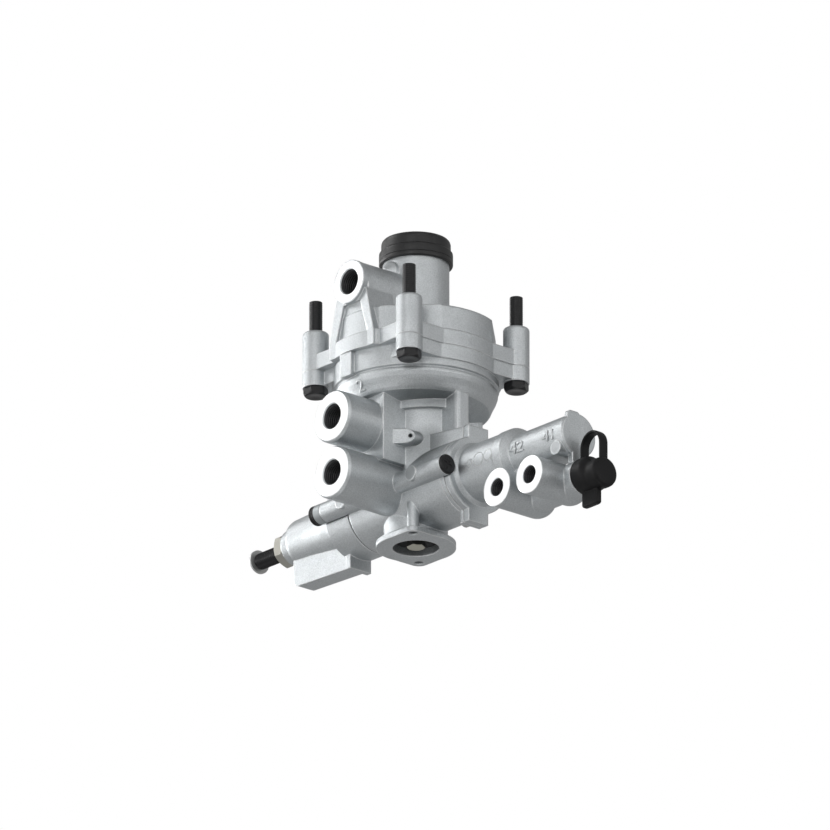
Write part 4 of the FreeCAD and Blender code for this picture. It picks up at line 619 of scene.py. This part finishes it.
# The boot is (radius, distance from the start), from inside its rim to the knob's middle.
testCapSizes = {
    "level": -134.1, "start": 149.25, "knobDrop": 1.8, "sinkStart": 7.0, "sinkLength": 6.0,
    "boot": [
        (0, 0.3), (7.9, 0.3), (8.1, 0.0), (10.0, 0.0), (10.6, 0.25), (10.9, 0.7), (11.0, 1.3),
        (11.0, 4.0), (11.0, 7.0), (10.9, 8.2), (10.6, 9.3), (10.1, 10.2), (9.55, 11.0),
        (9.2, 11.9), (9.08, 13.0), (9.15, 14.2), (9.28, 15.6), (9.3, 17.4), (9.2, 18.6),
        (8.85, 19.5), (8.2, 20.1), (7.2, 20.42), (5.0, 20.6), (2.5, 20.7), (0, 20.72)],
    "archLeft": 150.55, "archRight": 167.05, "archTop": -108.85, "archRise": 8.6,
    "archFoot": 5.0, "archReach": 0.2, "bandThick": 1.8, "bandWide": 6.0, "bandSquare": 0.45,
    "tabLeft": 149.9, "tabRight": 163.5, "tabTop": 4.0, "tabFoot": -154.1, "tabHalf": 2.2,
    "tabRound": 1.6, "tabThin": 0.75, "tabSquare": 0.32,
    "bootPoints": 72, "bandPoints": 24, "tabPoints": 48, "legRows": 5, "archRows": 33,
    "tabRows": 12, "tabRoundRows": 8,
}


def bootSheet(c):
    # Circles whose radius follows the bell outline while their centre sinks to the knob's.
    outline, angle = np.array(c["boot"]), fullTurn(c["bootPoints"])
    radius, station = outline[:, :1], outline[:, 1:] + c["start"]
    sink = np.clip((outline[:, 1:] - c["sinkStart"]) / c["sinkLength"], 0, 1)
    drop = c["knobDrop"] * sink * sink * (3 - 2 * sink)
    return np.stack([station + 0 * angle, radius * np.cos(angle),
                     c["level"] - drop + radius * np.sin(angle)], axis=-1), False, True


def archSheet(c):
    # A squared-off band section carried up one leg, round a half ellipse and down the other.
    legs = np.linspace(0, 1, c["legRows"] + 1)[:-1]
    turn = np.linspace(0, np.pi, c["archRows"])
    middle, half = (c["archLeft"] + c["archRight"]) / 2, (c["archRight"] - c["archLeft"]) / 2
    foot, shoulder = c["level"] + c["archFoot"], c["archTop"] - c["archRise"]
    across = np.concatenate([-half + 0 * legs, -half * np.cos(turn), half + 0 * legs])
    height = np.concatenate([foot + (shoulder - foot) * legs,
                             shoulder + c["archRise"] * np.sin(turn),
                             shoulder + (foot - shoulder) * (legs + c["archReach"])])
    path = np.stack([middle + across, height], axis=-1)
    way = np.gradient(path, axis=0)
    way /= np.linalg.norm(way, axis=1, keepdims=True)
    outX, outZ = -way[:, 1:], way[:, :1]
    thick, wide = squaredCircle(c["bandPoints"], c["bandSquare"])
    x = path[:, :1] + outX * thick * c["bandThick"] / 2
    z = path[:, 1:] + outZ * thick * c["bandThick"] / 2
    y = 0 * x + wide * c["bandWide"] / 2
    return cappedRows(np.stack([x, y, z], axis=-1)), False, True


def tabSheet(c):
    # A squared-off oval carried down; its last rows shrink in a quarter circle.
    middle, half = (c["tabLeft"] + c["tabRight"]) / 2, (c["tabRight"] - c["tabLeft"]) / 2
    bend = np.linspace(0, np.pi / 2, c["tabRoundRows"] + 1)[1:]
    edge, straight = c["tabFoot"] + c["tabRound"], c["tabRows"]
    level = np.concatenate([np.linspace(c["level"] - c["tabTop"], edge, straight),
                            edge - c["tabRound"] * np.sin(bend)])
    shrink = np.concatenate([np.zeros(straight), c["tabRound"] * (1 - np.cos(bend))])
    wide, thick = squaredCircle(c["tabPoints"], c["tabSquare"])
    x = middle + wide * (half - shrink[:, None])
    y = thick * (c["tabHalf"] - c["tabThin"] * shrink[:, None])
    return cappedRows(np.stack([x, y, level[:, None] + 0 * wide], axis=-1)), False, True


gridPiece("rubberTestCap",
          [bootSheet(testCapSizes), archSheet(testCapSizes), tabSheet(testCapSizes)],
          "test_cap", capRubber, replaced=["test_cap"])
print("rubber test cap made")


wireSteps = {"perTurn": 28, "around": 12}
# Start and end lie along the axis, which runs through the point "at".
springs = {
    "control": {"axis": "z", "start": -10.0, "end": 45.0, "radius": 11.4, "wire": 1.8,
                "turns": 9, "at": (0, 0, 0)},
    "valve": {"axis": "z", "start": -83.4, "end": -64.0, "radius": 7.75, "wire": 1.5,
              "turns": 5, "at": (0, 0, 0)},
    "load": {"axis": "x", "start": -92.0, "end": -18.0, "radius": 9.8, "wire": 2.4,
             "turns": 11, "at": (0, 0, -106.4)},
}


def wireStation(s, share):
    # Where the wire's middle is along the axis at a share of the spring's length.
    return s["start"] + s["wire"] / 2 + (s["end"] - s["start"] - s["wire"]) * share


def coilSheet(s, first, last):
    # A helix from share "first" to share "last" of its length, with a round wire section
    # laid out from the radial direction and the one at right angles to it and the wire.
    steps = int(s["turns"] * wireSteps["perTurn"] * (last - first))
    share, section = np.linspace(first, last, steps + 1), fullTurn(wireSteps["around"])[None, :]
    angle = 2 * np.pi * s["turns"] * share[:, None]
    slope = (s["end"] - s["start"] - s["wire"]) / (2 * np.pi * s["turns"] * s["radius"])
    lean = 1 / math.hypot(1, slope)
    out, over = s["wire"] / 2 * np.cos(section), s["wire"] / 2 * np.sin(section)
    x = (s["radius"] + out) * np.cos(angle) + over * slope * lean * np.sin(angle)
    y = (s["radius"] + out) * np.sin(angle) - over * slope * lean * np.cos(angle)
    z = wireStation(s, share[:, None]) + over * lean
    rows = cappedRows(np.stack([x, y, z], axis=-1))
    return placed(rows, s["axis"], s["at"]), False, True


# A stretch of one spring's wire, from share first to share last of its length, with its place
# applied to the mesh and tied to no body.
def springPiece(name, kind, first=0.0, last=1.0, replaced=()):
    # The wire follows one body at its first end and the other at its last end.
    s = springs[kind]
    piece = gridPiece(name, [coilSheet(s, first, last)], None, springMetal,
                      replaced=replaced)
    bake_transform(piece)


springPiece("controlSpring", "control", 0, 1, ["control_spring"])
springPiece("valveSpring", "valve", 0, 1, ["valve_spring"])
springPiece("loadSpringOuter", "load", 0, 0.5, ["load_spring"])
springPiece("loadSpringInner", "load", 0.5, 1)
print("springs made")


plugSizes = {"station": 57.0, "front": -26.0, "level": -106.4, "radius": 6.1, "stand": 1.7,
             "rim": 1.0, "dome": 0.25, "slot": 0.75, "slotReach": 3.6, "slotDeep": 0.7,
             "slotWall": 0.3, "slotTurn": 0.4, "foot": (0.05, 0.03, 0.03), "bendStart": 0.2,
             "bendRows": 6, "rows": 30, "count": 96}


def plugSheet(s):
    # A low dome over a polar grid with a quarter-round rim, less a cross-shaped recess with
    # soft walls: the dip grows with the distance inside either arm of the cross.
    flat, bend = s["radius"] - s["rim"], np.linspace(s["bendStart"], np.pi / 2, s["bendRows"])
    inner, angle = np.linspace(0, flat, s["rows"]), fullTurn(s["count"])
    radius = np.concatenate([inner, flat + s["rim"] * np.sin(bend)])[:, None]
    rise = np.concatenate([s["stand"] - s["dome"] * (inner / s["radius"]) ** 2,
                           s["stand"] - s["dome"] - s["rim"] + s["rim"] * np.cos(bend)])
    u = np.abs(radius * np.cos(angle + s["slotTurn"]))
    v = np.abs(radius * np.sin(angle + s["slotTurn"]))
    arms = np.maximum(np.minimum(s["slot"] - u, s["slotReach"] - v),
                      np.minimum(s["slot"] - v, s["slotReach"] - u))
    dip = s["slotDeep"] * np.clip(arms / s["slotWall"], 0, 1)
    foot = np.array(s["foot"])[:, None]
    radius = np.concatenate([radius, [[s["radius"]], [s["radius"]], [0.0]]])
    x = s["station"] + np.concatenate([rise[:, None] - dip, foot + 0 * angle])
    return np.stack([x, s["front"] + radius * np.cos(angle),
                     s["level"] + radius * np.sin(angle)], axis=-1), False, True


gridPiece("sidePlug", [plugSheet(plugSizes)], "housing", blackMetal,
          replaced=["side_plug_right"])
print("side plug made")


numberSizes = {"raise": 0.55, "sink": 0.5, "edge": 0.12, "bold": 0.05, "merge": 1e-4}
bowlWall = {"heights": (-52.5, -51.3, -48.1, -44.8, -42.2, -40.6),
            "radii": (43.8, 44.6, 45.9, 47.6, 48.5, 48.5), "squeeze": 0.93, "droop": 0.35,
            "turnRadius": 46.5}


def numberMesh(word, size):
    # A thick number, cut fine enough to follow a round wall; returned with its points.
    curve = bpy.data.curves.new(word + "Curve", "FONT")
    curve.body = word
    curve.size = size
    curve.align_x, curve.align_y = "CENTER", "CENTER"
    curve.offset = numberSizes["bold"]
    curve.extrude = (numberSizes["raise"] + numberSizes["sink"]) / 2
    curve.bevel_depth = numberSizes["edge"]
    curve.bevel_resolution = 1
    holder = addObject(word + "Holder", curve)
    mesh = bpy.data.meshes.new_from_object(holder)
    bpy.data.objects.remove(holder)
    work = bmesh.new()
    work.from_mesh(mesh)
    bmesh.ops.triangulate(work, faces=work.faces)
    bmesh.ops.remove_doubles(work, verts=work.verts, dist=numberSizes["merge"])
    work.to_mesh(mesh)
    work.free()
    points = np.empty(len(mesh.vertices) * 3)
    mesh.vertices.foreach_get("co", points)
    return mesh, points.reshape(-1, 3)


def numberPiece(name, word, size, wide, wrap):
    # Bends the flat number, made wider across, round its wall with wrap(across, up, out).
    mesh, points = numberMesh(word, size)
    out = points[:, 2] + (numberSizes["raise"] - numberSizes["sink"]) / 2
    bent = np.stack(wrap(points[:, 0] * wide, points[:, 1], out), axis=-1) * mm
    mesh.vertices.foreach_set("co", bent.ravel())
    mesh.update()
    piece = addObject(name, mesh)
    mesh.materials.clear()
    mesh.materials.append(barrelCast)
    tidyMesh(mesh)
    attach(piece, "housing")


def aroundTube(station, radius, level, tilt=0.0):
    # Across runs along the tube, up runs round it, out stands off its axis.
    def wrap(across, up, out):
        angle = up / radius + tilt
        return (station + across, -(radius + out) * np.cos(angle),
                level + (radius + out) * np.sin(angle))
    return wrap


def aroundBowl(station, level):
    # Across runs round the upright axis, up follows the bowl's falling outline.
    def wrap(across, up, out):
        z = level + up * bowlWall["squeeze"]
        radius = np.interp(z, bowlWall["heights"], bowlWall["radii"]) + out
        angle = (station + across) / bowlWall["turnRadius"]
        return radius * np.sin(angle), -radius * np.cos(angle), z - bowlWall["droop"] * out
    return wrap


# Each number: word, size, stretch across, and the wall that it stands on.
castNumbers = {
    "castTwo": ("2", 10.5, 1.0, aroundBowl(3.7, -47.2)),
    "castFortyTwo": ("42", 9.6, 1.3, aroundTube(105.3, 13.4, -106.4, -0.02)),
    "castFortyOne": ("41", 8.6, 1.25, aroundTube(134.0, 13.4, -106.4, -0.05)),
}
for pieceName, entry in castNumbers.items():
    numberPiece(pieceName, *entry)
print("cast numbers made")


# Places are (station along the tube, tilt round it, radius of the ring).
ejectorMarks = {"level": -106.4, "radius": 17.6, "thick": 0.28, "flat": 0.6,
                "ringPoints": 48, "wirePoints": 10,
                "places": [(68.0, 0.0, 2.0), (75.6, 0.02, 4.2), (84.0, 0.04, 3.5)]}


def markSheet(station, tilt, reach):
    # A thin raised ring laid round the tube: a circle of radius "reach", bent to the wall.
    m = ejectorMarks
    around, section = fullTurn(m["ringPoints"])[:, None], fullTurn(m["wirePoints"])[None, :]
    away = reach + m["thick"] * np.cos(section)
    out = m["flat"] * m["thick"] * np.sin(section) + 0 * around
    wrap = aroundTube(station, m["radius"], m["level"], tilt)
    return np.stack(wrap(away * np.cos(around), away * np.sin(around), out), axis=-1), True, True


gridPiece("ejectorMarks", [markSheet(*place) for place in ejectorMarks["places"]], "housing",
          controlCast)
print("ejector marks made")


threadSizes = {"depth": 0.5, "pitch": 1.5, "fade": 1.0, "rootGap": 0.04, "backGap": 0.01,
               "count": 64}


def portThreadSheet(port):
    # A thin threaded sleeve against the bore: crests stand half a millimetre off the wall.
    t, (x, y, z), (radius, start, length) = threadSizes, port["mouth"], port["thread"]
    thread = threadRows(0.0, length, radius - t["rootGap"], t["depth"], t["pitch"], t["count"],
                        t["fade"], inner=True)
    back = ringRows([(radius - t["backGap"], length), (radius - t["backGap"], 0.0)], t["count"])
    local = np.concatenate([thread, back, thread[:1]]) * np.array([1, 1, port["inwards"]])
    return placed(local, "y", (x, y + port["inwards"] * start, z)), False, True


# The threads take a near-black finish, painted shade like the bores.
gridPiece("portThreads", [portThreadSheet(port) for port in ports.values()], "housing",
          finishes["boreThreadShade"])
print("port threads made")


lampSettings = {"size": 1.3, "aim": (0, 0, -0.05)}
lamps = {
    "keyLamp": {"at": (-0.9, -2.7, 0.0), "power": 9.0},
    "leftLamp": {"at": (-2.8, -0.8, 0.2), "power": 34.0},
    "leftHighLamp": {"at": (-1.8, -1.6, 1.6), "power": 18.5},
    "frontLamp": {"at": (1.5, -2.3, 0.3), "power": 12.5},
    "rightLamp": {"at": (2.7, -0.6, 0.3), "power": 6.0},
    "rightHighLamp": {"at": (2.0, -0.9, 1.9), "power": 5.0},
    "rimLamp": {"at": (2.6, 0.9, 0.2), "power": 7.5},
    "lowLamp": {"at": (-0.9, -2.4, -1.2), "power": 7.0},
    "underLamp": {"at": (0.5, -0.5, -2.8), "power": 8.0},
}
worldLook = {"dim": (0.96, 0.98, 1.0, 1), "dimStrength": 0.02, "seen": (1, 1, 1, 1),
             "glossyShare": 0.38}


def makeLamps():
    for name, lamp in lamps.items():
        data = bpy.data.lights.new(name, "AREA")
        data.shape = "DISK"
        data.size = lampSettings["size"]
        data.energy = lamp["power"]
        light = addObject(name, data)
        light.location = lamp["at"]
        towards = Vector(lampSettings["aim"]) - light.location
        light.rotation_euler = towards.to_track_quat("-Z", "Y").to_euler()


def makeWorld():
    # A faint even light, and plain white where the camera or a reflection sees past the part.
    world = bpy.data.worlds.new("studioWorld")
    bpy.context.scene.world = world
    world.use_nodes = True
    tree = world.node_tree
    dim = tree.nodes["Background"]
    dim.inputs[0].default_value = worldLook["dim"]
    dim.inputs[1].default_value = worldLook["dimStrength"]
    white = addNode(tree, "ShaderNodeBackground", Color=worldLook["seen"], Strength=1.0)
    path = tree.nodes.new("ShaderNodeLightPath").outputs
    glossy = calc(tree, "MULTIPLY", path["Is Glossy Ray"], worldLook["glossyShare"])
    seen = calc(tree, "MAXIMUM", path["Is Camera Ray"],
                calc(tree, "MAXIMUM", glossy, path["Is Transmission Ray"]))
    mix = addNode(tree, "ShaderNodeMixShader", i0=seen, i1=dim.outputs[0], i2=white.outputs[0])
    tree.links.new(mix.outputs[0], tree.nodes["World Output"].inputs["Surface"])


# Angles in degrees. The picture's pixels and the pixel of the origin set the frame.
cameraSettings = {"azimuth": 48.9, "elevation": -20.5, "distance": 18.0,
                  "pixelsPerMetre": 1690.0, "originAt": (416.0, 331.2), "imageSize": 830.0,
                  "sensor": 36.0, "clipEnd": 90.0}


def makeCamera():
    # The camera looks up at the object; its frame is set by where the origin falls in it.
    v = cameraSettings
    a, e = math.radians(v["azimuth"]), math.radians(v["elevation"])
    ahead = Vector((-math.sin(a) * math.cos(e), math.cos(a) * math.cos(e), -math.sin(e)))
    right = Vector((math.cos(a), math.sin(a), 0))
    up = right.cross(ahead)
    half = v["imageSize"] / 2
    target = right * ((half - v["originAt"][0]) / v["pixelsPerMetre"]) \
        + up * ((v["originAt"][1] - half) / v["pixelsPerMetre"])
    data = bpy.data.cameras.new("camera")
    data.sensor_width = v["sensor"]
    data.lens = v["pixelsPerMetre"] * v["distance"] * v["sensor"] / v["imageSize"]
    data.clip_end = v["clipEnd"]
    camera = addObject("camera", data)
    camera.matrix_world = Matrix(((right.x, up.x, -ahead.x, 0), (right.y, up.y, -ahead.y, 0),
                                  (right.z, up.z, -ahead.z, 0), (0, 0, 0, 1)))
    camera.location = target - ahead * v["distance"]
    bpy.context.scene.camera = camera


makeLamps()
makeWorld()
makeCamera()
bpy.context.scene.view_settings.view_transform = "Standard"
print("stage made")
